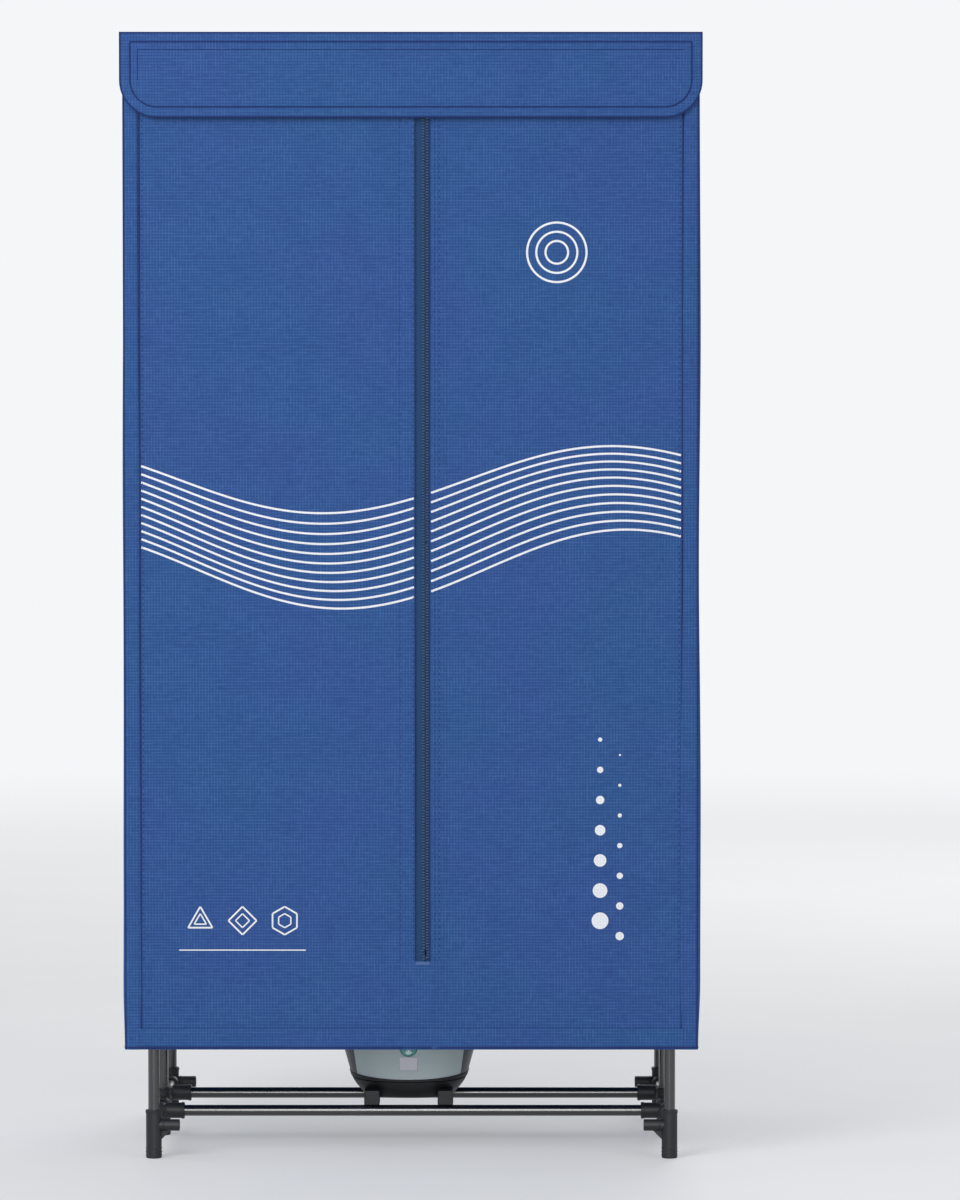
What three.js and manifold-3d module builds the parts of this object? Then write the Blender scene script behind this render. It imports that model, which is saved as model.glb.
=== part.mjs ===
// A portable clothes-drying cabinet. A woven cloth cover hangs over a stand of round steel tubes,
// and a fan heater on two low rails blows warm air up through the floor cloth.
// Millimetres, +Z up. The front faces -Y, and left is -X as seen from the front.
// The origin is on the floor, under the middle of the cabinet.
import * as THREE from 'three';
import { mergeVertices } from 'three/addons/utils/BufferGeometryUtils.js';
import Module from 'manifold-3d';

const wasm = await Module();
wasm.setup();

// ---------------------------------------------------------------- driving dimensions

// Cloth cover
const COVER_WIDTH = 816;
const COVER_DEPTH = 504;
const COVER_TOP = 1600;
const COVER_HEM = 158;
const CLOTH = 1.5;
const CLOTH_GAP = 0.3;
const SEAM_INSET = 23;
const FLAP_DROP = 119.5;
const FLAP_OVERHANG = 2;
const FLAP_CORNER = 52;
const FLAP_STANDOFF = 6;
const FLOOR_CLOTH_Z = 168;
const FLOOR_HOLE_CLEARANCE = 8;

// Zip: it runs a little right of the middle
const ZIP_X = 20;
const ZIP_STRIP_LEFT = 15.2;
const ZIP_STRIP_RIGHT = 7.2;
const ZIP_FOOT = 284;
const ZIP_HEAD_DROP = 66;
const ZIP_TAPE_WIDTH = 30;
const ZIP_TAPE = 1;
const COIL_WIDTH = 3;
const COIL_GAP = 1.6;
const SLIDER_WIDTH = 9;
const SLIDER_HEIGHT = 15;
const SLIDER_PLATE = 1.2;
const SLIDER_POST = 0.9;
const SLIDER_ROOM = 1;
const LUG_WIDTH = 1.8;
const LUG_HEIGHT = 5;
const PIN = 1.1;
const PIN_HOLE = 1.8;
const PIN_STEPS = 12;
const PULL_ARM = 1.5;
const PULL_EYE = 4;
const PULL_LENGTH = 26;
const PULL_WIDTH = 6;
const PULL_THICKNESS = 1;
const PULL_LUG = 1.8;

// Tube stand
const TUBE = 16;
const TUBE_WALL = 0.8;
const SOCKET = 22.4;
const SOCKET_GAP = 0.3;
const SOCKET_SHOULDER = 1;
const LEG_INSET_X = 40;
const LEG_INSET_Y = 24;
const FOOT_HEIGHT = 69;
const FOOT_SOLE = 6;
const FOOT_ARM = 16.6;
const ARM_REACH = 37;
const ARM_Z = 47;
const TUBE_SOCKET = 22;
const RAIL_Z = 49;
const RAIL_INSET = 12;
const BRACKET_SLEEVE = 24;
const BRACKET_WIDTH = 26;
const BRACKET_CLAMP = 24.4;
const TOP_SOCKET = 44;
const TOP_SLEEVE = 30;
const UPRIGHT_HEADROOM = 3;
const ROOF_CLEARANCE = 0.4;
const ROUND_STEPS = 16;
// How far a cutting shape runs past the face that it cuts.
const OVERRUN = 1;

// Fan heater
const HEATER_X = -6;
const HEATER_BOTTOM = 66;
const HEATER_SPLIT = 92;
const HEATER_SHOULDER = 172;
const HEATER_TOP = 232;
const HEATER_WIDTH = 192;
const HEATER_DEPTH = 212;
const HEATER_WALL = 2.5;
const HEATER_FLARE = 40;
const SPLIT_INSET_X = 11.4;
const SPLIT_INSET_Y = 4;
const FOOT_INSET = 18.6;
const FOOT_CURVE = 1.4;
const DOME_INSET = 40;
const DOME_TURN = 0.96;
const HEATER_FOOT_WIDTH = 22.5;
const HEATER_FOOT_SPAN = 106.5;
const HEATER_FOOT_OUT = 5;
const HEATER_FOOT_IN = 16;
const HEATER_FOOT_RISE = 14;
const PLAN_POWER = 2.7;
const PLAN_STEPS = 32;
const BASE_STEPS = 3;
const DOME_STEPS = 4;
const INTAKE_PITCH = 12;
const INTAKE_WIDTH = 3.6;
const INTAKE_LENGTH = 60;
const INTAKE_ROWS = 3;
const JOINT_GAP = 0.3;
const OUTLET = 116;
const OUTLET_RIM = 4;
const OUTLET_BAR = 3;
const OUTLET_PITCH = 9.5;
const OUTLET_ROWS = 5;
const OUTLET_RECESS = 0.2;
const FACE_THICKNESS = 2.2;
const FACE_TOP_WIDTH = 168;
const FACE_FOOT_WIDTH = 148;
const FACE_FOOT = 100.5;
const FACE_SAG = 4.5;
const FACE_TOP = 170;
const WINDOW_THICKNESS = 1.7;
const WINDOW_WIDTH = 26;
const WINDOW_BOTTOM = 108.5;
const WINDOW_TOP = 127.5;
const BUTTON = 25.4;
const BUTTON_Z = 142;
const BUTTON_PROUD = 1.8;
const BUTTON_DEPTH = 9;
const BUTTON_CLEARANCE = 0.4;
const BUTTON_STEPS = 24;
const MOTOR = 46;
const MOTOR_HEIGHT = 32;
const SHAFT = 5;
const SHAFT_LENGTH = 20;
const SHAFT_BITE = 1;
const ROTOR = 118;
const ROTOR_HEIGHT = 16;
const ROTOR_HUB = 30;
const ROTOR_BLADES = 7;
const ROTOR_ROOF = 2;
const ROTOR_STEPS = 24;
const BLADE_BITE = 3;
const BLADE_CHORD = 30;
const BLADE_THICKNESS = 1.8;
const BLADE_PITCH = 0.4;
const ELEMENT_WIDTH = 120;
const ELEMENT_DEPTH = 96;
const ELEMENT_HEIGHT = 24;
const ELEMENT_Z = 140;
const ELEMENT_EAR = 22;
const ELEMENT_EAR_THICKNESS = 4;
const ELEMENT_CLEARANCE = 0.5;
const CUTOUT = 16;
const CUTOUT_HEIGHT = 6;
const BOARD_WIDTH = 64;
const BOARD_HEIGHT = 46;
const BOARD = 1.6;
const BOARD_INSET = 34;
const INLET_WIDTH = 28;
const INLET_HEIGHT = 20;
const INLET_DEPTH = 16;
const INLET_PROUD = 2;
const INLET_Z = 82;

// ---------------------------------------------------------------- places worked out from them

const BACK = (COVER_DEPTH + FLAP_STANDOFF + CLOTH) / 2;
const FRONT = BACK - COVER_DEPTH;
const HALF = COVER_WIDTH / 2;
const SEAM_X = HALF - SEAM_INSET;
const FLAP_FOOT = COVER_TOP - FLAP_DROP;
const FLAP_INNER = FRONT - FLAP_STANDOFF;
const DOOR_TOP = FLAP_FOOT - CLOTH_GAP;
const ZIP_HEAD = COVER_TOP - ZIP_HEAD_DROP;
const LEG_X = HALF - LEG_INSET_X;
const LEG_Y = COVER_DEPTH / 2 - LEG_INSET_Y;
const RAIL_Y = HEATER_DEPTH / 2 - RAIL_INSET;
const DOOR_FOOT = ZIP_FOOT + SLIDER_HEIGHT + SLIDER_ROOM;
const TOP_TUBE_Z = COVER_TOP - CLOTH - ROOF_CLEARANCE - SOCKET / 2;
const BORE = TUBE + 2 * SOCKET_GAP;
// Where a socket's bore starts, out from the axis of its upright, and where its tube starts.
const BORE_START = SOCKET / 2 + SOCKET_SHOULDER;
const TUBE_START = BORE_START + SOCKET_GAP;
const SIDES = { left: -1, right: 1 };
const ROWS = { front: -1, middle: 0, rear: 1 };

// ---------------------------------------------------------------- shape helpers

const X_AXIS = new THREE.Vector3(1, 0, 0);
const Y_AXIS = new THREE.Vector3(0, 1, 0);
const Z_AXIS = new THREE.Vector3(0, 0, 1);

// A block between two corners.
function block(low, high) {
  const size = high.map((value, i) => value - low[i]);
  const shape = new THREE.BoxGeometry(...size);
  const middle = low.map((value, i) => value + size[i] / 2);
  return shape.translate(...middle);
}

// Turns a shape made along Y so that it runs along the given axis, then moves its foot to a point.
function along(shape, axis, foot) {
  const turn = new THREE.Quaternion().setFromUnitVectors(Y_AXIS, axis.clone().normalize());
  return shape.applyQuaternion(turn).translate(...foot);
}

// A solid round bar from a foot point, along an axis.
function bar(diameter, length, axis, foot, steps = ROUND_STEPS) {
  const shape = new THREE.CylinderGeometry(diameter / 2, diameter / 2, length, steps);
  return along(shape.translate(0, length / 2, 0), axis, foot);
}

// An open round tube from a foot point, along an axis.
function tube(outer, wall, length, axis, foot) {
  const rOut = outer / 2;
  const rIn = rOut - wall;
  const outline = [
    new THREE.Vector2(rIn, 0),
    new THREE.Vector2(rOut, 0),
    new THREE.Vector2(rOut, length),
    new THREE.Vector2(rIn, length),
    new THREE.Vector2(rIn, 0),
  ];
  return along(new THREE.LatheGeometry(outline, ROUND_STEPS), axis, foot);
}

// A plate with an outline in X and Z, between two Y values.
function plateXZ(outline, yFront, yBack) {
  const shape = new THREE.ExtrudeGeometry(outline, {
    depth: yBack - yFront,
    bevelEnabled: false,
    curveSegments: 10,
  });
  return shape.rotateX(Math.PI / 2).translate(0, yBack, 0);
}

// A rectangle outline.
function rectangle(x0, z0, x1, z1) {
  const outline = new THREE.Shape();
  outline.moveTo(x0, z0);
  outline.lineTo(x1, z0);
  outline.lineTo(x1, z1);
  outline.lineTo(x0, z1);
  outline.closePath();
  return outline;
}

// One ring of a rounded, slightly square plan.
function planRing(halfWidth, halfDepth, z) {
  const points = [];
  for (let i = 0; i < PLAN_STEPS; i += 1) {
    const angle = (2 * Math.PI * i) / PLAN_STEPS;
    const c = Math.cos(angle);
    const s = Math.sin(angle);
    const x = Math.sign(c) * Math.abs(c) ** (2 / PLAN_POWER) * halfWidth;
    const y = Math.sign(s) * Math.abs(s) ** (2 / PLAN_POWER) * halfDepth;
    points.push([x, y, z]);
  }
  return points;
}

// A closed solid through a stack of rings, with flat ends.
function loft(rings) {
  const positions = rings.flat(2);
  const count = PLAN_STEPS;
  const index = [];
  for (let r = 0; r + 1 < rings.length; r += 1) {
    for (let i = 0; i < count; i += 1) {
      const a = r * count + i;
      const b = r * count + ((i + 1) % count);
      index.push(a, b, b + count, a, b + count, a + count);
    }
  }
  const top = (rings.length - 1) * count;
  for (let i = 1; i + 1 < count; i += 1) {
    index.push(0, i + 1, i);
    index.push(top, top + i, top + i + 1);
  }
  const shape = new THREE.BufferGeometry();
  shape.setAttribute('position', new THREE.Float32BufferAttribute(positions, 3));
  shape.setIndex(index);
  return shape;
}

// The closed solid of a geometry, ready to be joined or cut.
function solid(shape) {
  const bare = shape.clone();
  bare.deleteAttribute('normal');
  bare.deleteAttribute('uv');
  const merged = mergeVertices(bare, 1e-4);
  return new wasm.Manifold(
    new wasm.Mesh({
      numProp: 3,
      vertProperties: new Float32Array(merged.attributes.position.array),
      triVerts: new Uint32Array(merged.index.array),
    }),
  );
}

// The geometry of a solid.
function geometry(body) {
  const mesh = body.getMesh();
  const shape = new THREE.BufferGeometry();
  shape.setAttribute('position', new THREE.BufferAttribute(new Float32Array(mesh.vertProperties), 3));
  shape.setIndex(Array.from(mesh.triVerts));
  return shape;
}

// One body from several shapes that touch.
function join(...shapes) {
  const total = shapes.map(solid).reduce((sum, next) => sum.add(next));
  return geometry(total);
}

// A shape with others taken out of it.
function cut(shape, ...tools) {
  const left = tools.map(solid).reduce((rest, tool) => rest.subtract(tool), solid(shape));
  return geometry(left);
}

// What two shapes share.
function common(first, second) {
  return geometry(solid(first).intersect(solid(second)));
}

// ---------------------------------------------------------------- assembly

const cabinet = new THREE.Group();

const FINISHES = {
  cloth: { color: 0x3b5a9d, roughness: 0.9, metalness: 0 },
  zip: { color: 0x2b4a78, roughness: 0.75, metalness: 0 },
  zipMetal: { color: 0x2f3f5c, roughness: 0.4, metalness: 0.6 },
  tube: { color: 0x1a1b1d, roughness: 0.32, metalness: 0.4 },
  socket: { color: 0x2a2b2e, roughness: 0.5, metalness: 0 },
  casing: { color: 0x63696c, roughness: 0.5, metalness: 0 },
  base: { color: 0x2c2e31, roughness: 0.55, metalness: 0 },
  face: { color: 0xb9c4c2, roughness: 0.35, metalness: 0.1 },
  button: { color: 0x2f6e70, roughness: 0.3, metalness: 0 },
  window: { color: 0xe3dede, roughness: 0.15, metalness: 0 },
  element: { color: 0xb8bcbf, roughness: 0.4, metalness: 0.8 },
  steel: { color: 0x8e9396, roughness: 0.35, metalness: 0.9 },
  rotor: { color: 0x3a3c3f, roughness: 0.5, metalness: 0 },
  board: { color: 0x1f5b3a, roughness: 0.5, metalness: 0 },
};

function add(name, shape, finish) {
  const mesh = new THREE.Mesh(shape, new THREE.MeshStandardMaterial(FINISHES[finish]));
  mesh.name = name;
  cabinet.add(mesh);
  return mesh;
}

// ---------------------------------------------------------------- cloth cover

// The front cloth lies between FRONT (its outer face) and FRONT + CLOTH.
const CLOTH_BACK = FRONT + CLOTH;

function addCoverShell() {
  const roof = block([-HALF, FLAP_INNER + CLOTH_GAP, COVER_TOP - CLOTH], [HALF, BACK, COVER_TOP]);
  add('cover_roof', roof, 'cloth');
  const under = COVER_TOP - CLOTH - CLOTH_GAP;
  const back = block([-HALF, BACK - CLOTH, COVER_HEM], [HALF, BACK, under]);
  add('cover_back', back, 'cloth');
  for (const [side, sign] of Object.entries(SIDES)) {
    // Each side wraps round the front corner as far as the long seam.
    const outline = new THREE.Shape();
    outline.moveTo(sign * HALF, FRONT);
    outline.lineTo(sign * HALF, BACK - CLOTH - CLOTH_GAP);
    outline.lineTo(sign * (HALF - CLOTH), BACK - CLOTH - CLOTH_GAP);
    outline.lineTo(sign * (HALF - CLOTH), CLOTH_BACK);
    outline.lineTo(sign * SEAM_X, CLOTH_BACK);
    outline.lineTo(sign * SEAM_X, FRONT);
    outline.closePath();
    const depth = under - COVER_HEM;
    const shape = new THREE.ExtrudeGeometry(outline, { depth, bevelEnabled: false });
    add(`cover_side_${side}`, shape.translate(0, 0, COVER_HEM), 'cloth');
  }
}

// A front strip between the side seams, with a slot for the slider's post in one edge.
function frontStrip(z0, z1, slot0, slot1) {
  const reach = SEAM_X - CLOTH_GAP;
  const strip = block([-reach, FRONT, z0], [reach, CLOTH_BACK, z1]);
  const slot = block(
    [ZIP_X - COIL_GAP / 2, FRONT - OVERRUN, slot0],
    [ZIP_X + COIL_GAP / 2, CLOTH_BACK + OVERRUN, slot1],
  );
  return cut(strip, slot);
}

function addFrontStrips() {
  const headerFoot = DOOR_TOP + CLOTH_GAP;
  const headerTop = COVER_TOP - CLOTH - CLOTH_GAP;
  add('front_header', frontStrip(headerFoot, headerTop, headerFoot - OVERRUN, ZIP_HEAD), 'cloth');
  const apronTop = DOOR_FOOT - CLOTH_GAP;
  add('front_apron', frontStrip(COVER_HEM, apronTop, ZIP_FOOT, apronTop + OVERRUN), 'cloth');
}

function addFloorCloth() {
  const inset = CLOTH + CLOTH_GAP;
  const sheet = block(
    [-HALF + inset, CLOTH_BACK + CLOTH_GAP, FLOOR_CLOTH_Z - CLOTH],
    [HALF - inset, BACK - inset, FLOOR_CLOTH_Z],
  );
  // The hole follows the heater's plan, with room for its front face.
  const holeX = HEATER_WIDTH / 2 + FLOOR_HOLE_CLEARANCE;
  const holeY = HEATER_DEPTH / 2 + JOINT_GAP + FACE_THICKNESS + FLOOR_HOLE_CLEARANCE;
  const holeZs = [FLOOR_CLOTH_Z - 2 * CLOTH, FLOOR_CLOTH_Z + CLOTH];
  const holeRings = holeZs.map((z) => planRing(holeX, holeY, z));
  const hole = loft(holeRings).translate(HEATER_X, 0, 0);
  // The leg holes let each upright through.
  const legHoles = [];
  for (const sx of Object.values(SIDES)) {
    for (const sy of Object.values(ROWS)) {
      const foot = [sx * LEG_X, sy * LEG_Y, FLOOR_CLOTH_Z - 3 * CLOTH];
      legHoles.push(bar(TUBE + 2 * CLOTH_GAP, 4 * CLOTH, Z_AXIS, foot));
    }
  }
  add('floor_cloth', cut(sheet, hole, ...legHoles), 'cloth');
}

// ---------------------------------------------------------------- doors, zip and flap

function addDoors() {
  for (const [side, sign] of Object.entries(SIDES)) {
    const seam = sign * (SEAM_X - CLOTH_GAP);
    const free = sign < 0 ? ZIP_X - ZIP_STRIP_LEFT : ZIP_X + ZIP_STRIP_RIGHT;
    const x0 = Math.min(seam, free);
    const x1 = Math.max(seam, free);
    add(`door_${side}`, block([x0, FRONT, DOOR_FOOT], [x1, CLOTH_BACK, DOOR_TOP]), 'cloth');

    // The tape is sewn to the back of the door, and its coil shows in the middle.
    const coilEdge = ZIP_X + (sign * COIL_GAP) / 2;
    const coilBack = coilEdge + sign * COIL_WIDTH;
    const tapeBack = coilEdge + sign * ZIP_TAPE_WIDTH;
    const tapeFace = CLOTH_BACK + CLOTH_GAP;
    const tape = block(
      [Math.min(coilEdge, tapeBack), tapeFace, DOOR_FOOT],
      [Math.max(coilEdge, tapeBack), tapeFace + ZIP_TAPE, DOOR_TOP],
    );
    const coil = block(
      [Math.min(coilEdge, coilBack), FRONT, DOOR_FOOT],
      [Math.max(coilEdge, coilBack), tapeFace + ZIP_TAPE, DOOR_TOP],
    );
    add(`zip_tape_${side}`, join(tape, coil), 'zip');
  }
}

function addSlider() {
  const clearance = CLOTH_GAP;
  const top = ZIP_HEAD - clearance;
  const foot = top - SLIDER_HEIGHT;
  const w = SLIDER_WIDTH / 2;
  const faceBack = FRONT - clearance;
  const rearFront = CLOTH_BACK + CLOTH_GAP + ZIP_TAPE + clearance;
  const front = block([ZIP_X - w, faceBack - SLIDER_PLATE, foot], [ZIP_X + w, faceBack, top]);
  const rear = block([ZIP_X - w, rearFront, foot], [ZIP_X + w, rearFront + SLIDER_PLATE, top]);
  // The post and the lug reach into the plates, so that they join.
  const bite = SLIDER_PLATE / 6;
  const post = block(
    [ZIP_X - SLIDER_POST / 2, faceBack - bite, top - SLIDER_HEIGHT / 2],
    [ZIP_X + SLIDER_POST / 2, rearFront + bite, top],
  );
  // The lug carries the pull on a small round bar.
  const lugBack = faceBack - SLIDER_PLATE;
  const lugFront = lugBack - PULL_LUG;
  const lugZ = foot + SLIDER_HEIGHT / 2;
  const lug = block(
    [ZIP_X - LUG_WIDTH / 2, lugFront, lugZ - LUG_HEIGHT / 2],
    [ZIP_X + LUG_WIDTH / 2, lugBack + bite, lugZ + LUG_HEIGHT / 2],
  );
  const pinY = lugBack - PULL_LUG / 2;
  const holeStart = [ZIP_X - LUG_WIDTH / 2 - OVERRUN, pinY, lugZ];
  const pinHole = bar(PIN_HOLE, LUG_WIDTH + 2 * OVERRUN, X_AXIS, holeStart, PIN_STEPS);
  add('zip_slider', cut(join(front, rear, post, lug), pinHole), 'zipMetal');

  const pin = bar(PIN, PULL_WIDTH, X_AXIS, [ZIP_X - PULL_WIDTH / 2, pinY, lugZ], PIN_STEPS);
  const t = PULL_THICKNESS / 2;
  const arm = (x) => block(
    [x - PULL_ARM / 2, pinY - t, lugZ - PULL_EYE - PULL_ARM],
    [x + PULL_ARM / 2, pinY + t, lugZ + PIN],
  );
  const leaf = block(
    [ZIP_X - PULL_WIDTH / 2, pinY - t, lugZ - PULL_LENGTH],
    [ZIP_X + PULL_WIDTH / 2, pinY + t, lugZ - PULL_EYE],
  );
  const armX = (PULL_WIDTH - PULL_ARM) / 2;
  add('zip_pull', join(pin, arm(ZIP_X - armX), arm(ZIP_X + armX), leaf), 'zipMetal');
}

function addFlap() {
  const reach = HALF + FLAP_OVERHANG;
  const r = FLAP_CORNER;
  const outline = new THREE.Shape();
  outline.moveTo(-reach, COVER_TOP);
  outline.lineTo(-reach, FLAP_FOOT + r);
  outline.absarc(-reach + r, FLAP_FOOT + r, r, Math.PI, 1.5 * Math.PI, false);
  outline.lineTo(reach - r, FLAP_FOOT);
  outline.absarc(reach - r, FLAP_FOOT + r, r, 1.5 * Math.PI, 2 * Math.PI, false);
  outline.lineTo(reach, COVER_TOP);
  outline.closePath();
  add('front_flap', plateXZ(outline, FLAP_INNER - CLOTH, FLAP_INNER), 'cloth');
}

// ---------------------------------------------------------------- tube stand

function addLeg(side, row) {
  const sx = SIDES[side];
  const sy = ROWS[row];
  const x = sx * LEG_X;
  const y = sy * LEG_Y;
  const name = `${row}_${side}`;

  // Foot: an upright socket, sockets along the side, and a stub that points inwards.
  const shapes = [bar(SOCKET, FOOT_HEIGHT, Z_AXIS, [x, y, 0])];
  const bores = [bar(BORE, FOOT_HEIGHT, Z_AXIS, [x, y, FOOT_SOLE])];
  const sideDirections = sy === 0 ? [-1, 1] : [-sy];
  for (const d of sideDirections) {
    const axis = new THREE.Vector3(0, d, 0);
    shapes.push(bar(SOCKET, BORE_START + TUBE_SOCKET, axis, [x, y, ARM_Z]));
    bores.push(bar(BORE, TUBE_SOCKET + OVERRUN, axis, [x, y + d * BORE_START, ARM_Z]));
  }
  if (sy !== 0) {
    shapes.push(bar(FOOT_ARM, ARM_REACH, new THREE.Vector3(-sx, 0, 0), [x, y, ARM_Z]));
  }
  add(`foot_${name}`, cut(join(...shapes), ...bores), 'socket');

  // Upright tube, from the foot's sole to the top connector.
  const uprightTop = TOP_TUBE_Z - TUBE / 2 - UPRIGHT_HEADROOM;
  const uprightFoot = FOOT_SOLE + SOCKET_GAP;
  const upright = tube(TUBE, TUBE_WALL, uprightTop - uprightFoot, Z_AXIS, [x, y, uprightFoot]);
  add(`upright_${name}`, upright, 'tube');

  // Top connector: the side tube runs through it, and a cross tube plugs into its inner socket.
  const low = TOP_TUBE_Z - TOP_SOCKET;
  const sleeveStart = y - TOP_SLEEVE / 2;
  const head = join(
    bar(SOCKET, TOP_SOCKET, Z_AXIS, [x, y, low]),
    bar(SOCKET, TOP_SLEEVE, Y_AXIS, [x, sleeveStart, TOP_TUBE_Z]),
    bar(SOCKET, ARM_REACH, new THREE.Vector3(-sx, 0, 0), [x, y, TOP_TUBE_Z]),
  );
  const headBores = [
    bar(BORE, uprightTop + SOCKET_GAP - low + OVERRUN, Z_AXIS, [x, y, low - OVERRUN]),
    bar(BORE, TOP_SLEEVE + 2 * OVERRUN, Y_AXIS, [x, sleeveStart - OVERRUN, TOP_TUBE_Z]),
    bar(BORE, ARM_REACH, new THREE.Vector3(-sx, 0, 0), [x - sx * BORE_START, y, TOP_TUBE_Z]),
  ];
  add(`top_connector_${name}`, cut(head, ...headBores), 'socket');
}

function addStand() {
  for (const side of Object.keys(SIDES)) {
    for (const row of Object.keys(ROWS)) {
      addLeg(side, row);
    }
  }
  for (const [side, sx] of Object.entries(SIDES)) {
    const x = sx * LEG_X;
    for (const [row, sy] of [['front', -1], ['rear', 1]]) {
      const reach = LEG_Y - 2 * TUBE_START;
      const y0 = sy < 0 ? -LEG_Y + TUBE_START : TUBE_START;
      const lower = tube(TUBE, TUBE_WALL, reach, Y_AXIS, [x, y0, ARM_Z]);
      add(`side_tube_lower_${row}_${side}`, lower, 'tube');
      addBracket(side, row);
    }
    const half = LEG_Y + TUBE / 2;
    const upper = tube(TUBE, TUBE_WALL, 2 * half, Y_AXIS, [x, -half, TOP_TUBE_Z]);
    add(`side_tube_upper_${side}`, upper, 'tube');
  }
  const crossStart = LEG_X - TUBE_START;
  for (const [row, sy] of Object.entries(ROWS)) {
    const foot = [-crossStart, sy * LEG_Y, TOP_TUBE_Z];
    add(`hanging_tube_${row}`, tube(TUBE, TUBE_WALL, 2 * crossStart, X_AXIS, foot), 'tube');
  }
  for (const [row, sy] of [['front', -1], ['rear', 1]]) {
    const foot = [-crossStart, sy * RAIL_Y, RAIL_Z];
    add(`heater_rail_${row}`, tube(TUBE, TUBE_WALL, 2 * crossStart, X_AXIS, foot), 'tube');
  }
}

// A bracket grips the lower side tube and holds the end of a heater rail.
function addBracket(side, row) {
  const sx = SIDES[side];
  const x = sx * LEG_X;
  const y = ROWS[row] * RAIL_Y;
  const inward = new THREE.Vector3(-sx, 0, 0);
  const clampStart = y - BRACKET_WIDTH / 2;
  const clamp = bar(BRACKET_CLAMP, BRACKET_WIDTH, Y_AXIS, [x, clampStart, ARM_Z]);
  const sleeve = bar(BRACKET_SLEEVE, ARM_REACH, inward, [x, y, RAIL_Z]);
  const clampBore = bar(BORE, BRACKET_WIDTH + 2 * OVERRUN, Y_AXIS, [x, clampStart - OVERRUN, ARM_Z]);
  const sleeveBore = bar(BORE, ARM_REACH, inward, [x - sx * BORE_START, y, RAIL_Z]);
  add(`rail_bracket_${row}_${side}`, cut(join(clamp, sleeve), clampBore, sleeveBore), 'socket');
}

// ---------------------------------------------------------------- fan heater

// Half sizes of the casing's plan at a height: it widens to the shoulder and closes into a dome.
function casingHalf(z) {
  const width = HEATER_WIDTH / 2;
  const depth = HEATER_DEPTH / 2;
  if (z <= HEATER_SPLIT) {
    const t = (z - HEATER_BOTTOM) / (HEATER_SPLIT - HEATER_BOTTOM);
    const slope = FOOT_INSET * (1 - t) ** FOOT_CURVE;
    return [width - SPLIT_INSET_X - slope, depth - SPLIT_INSET_Y - slope];
  }
  if (z <= HEATER_SHOULDER) {
    const t = Math.min((z - HEATER_SPLIT) / HEATER_FLARE, 1);
    return [width - SPLIT_INSET_X * (1 - t), depth - SPLIT_INSET_Y * (1 - t)];
  }
  const t = (z - HEATER_SHOULDER) / (HEATER_TOP - HEATER_SHOULDER);
  const close = 1 - Math.sqrt(Math.max(1 - (t * DOME_TURN) ** 2, 0));
  const shrink = close * DOME_INSET;
  return [width - shrink, depth - shrink];
}

function casingRings(zs, inset) {
  return zs.map((z) => {
    const [w, d] = casingHalf(z);
    return planRing(w - inset, d - inset, z);
  });
}

// Heights from one value to another in equal steps.
function heights(z0, z1, steps) {
  return Array.from({ length: steps + 1 }, (_, i) => z0 + ((z1 - z0) * i) / steps);
}

function heaterLoft(zs, inset) {
  return loft(casingRings(zs, inset)).translate(HEATER_X, 0, 0);
}

// The wall of the front half, between two distances outside the casing.
function faceSkin(outlineXZ, inner, outer) {
  const flare = HEATER_SPLIT + HEATER_FLARE;
  const outside = heaterLoft([HEATER_SPLIT + OVERRUN, flare, HEATER_SHOULDER], -outer);
  const inside = heaterLoft([HEATER_SPLIT, flare, HEATER_SHOULDER + OVERRUN], -inner);
  return common(cut(outside, inside), plateXZ(outlineXZ, -HEATER_DEPTH, -HEATER_DEPTH / 4));
}

function faceOutline() {
  const outline = new THREE.Shape();
  outline.moveTo(HEATER_X - FACE_TOP_WIDTH / 2, FACE_TOP);
  outline.lineTo(HEATER_X - FACE_FOOT_WIDTH / 2, FACE_FOOT);
  outline.quadraticCurveTo(
    HEATER_X, FACE_FOOT - 2 * FACE_SAG,
    HEATER_X + FACE_FOOT_WIDTH / 2, FACE_FOOT,
  );
  outline.lineTo(HEATER_X + FACE_TOP_WIDTH / 2, FACE_TOP);
  outline.closePath();
  return outline;
}

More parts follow.
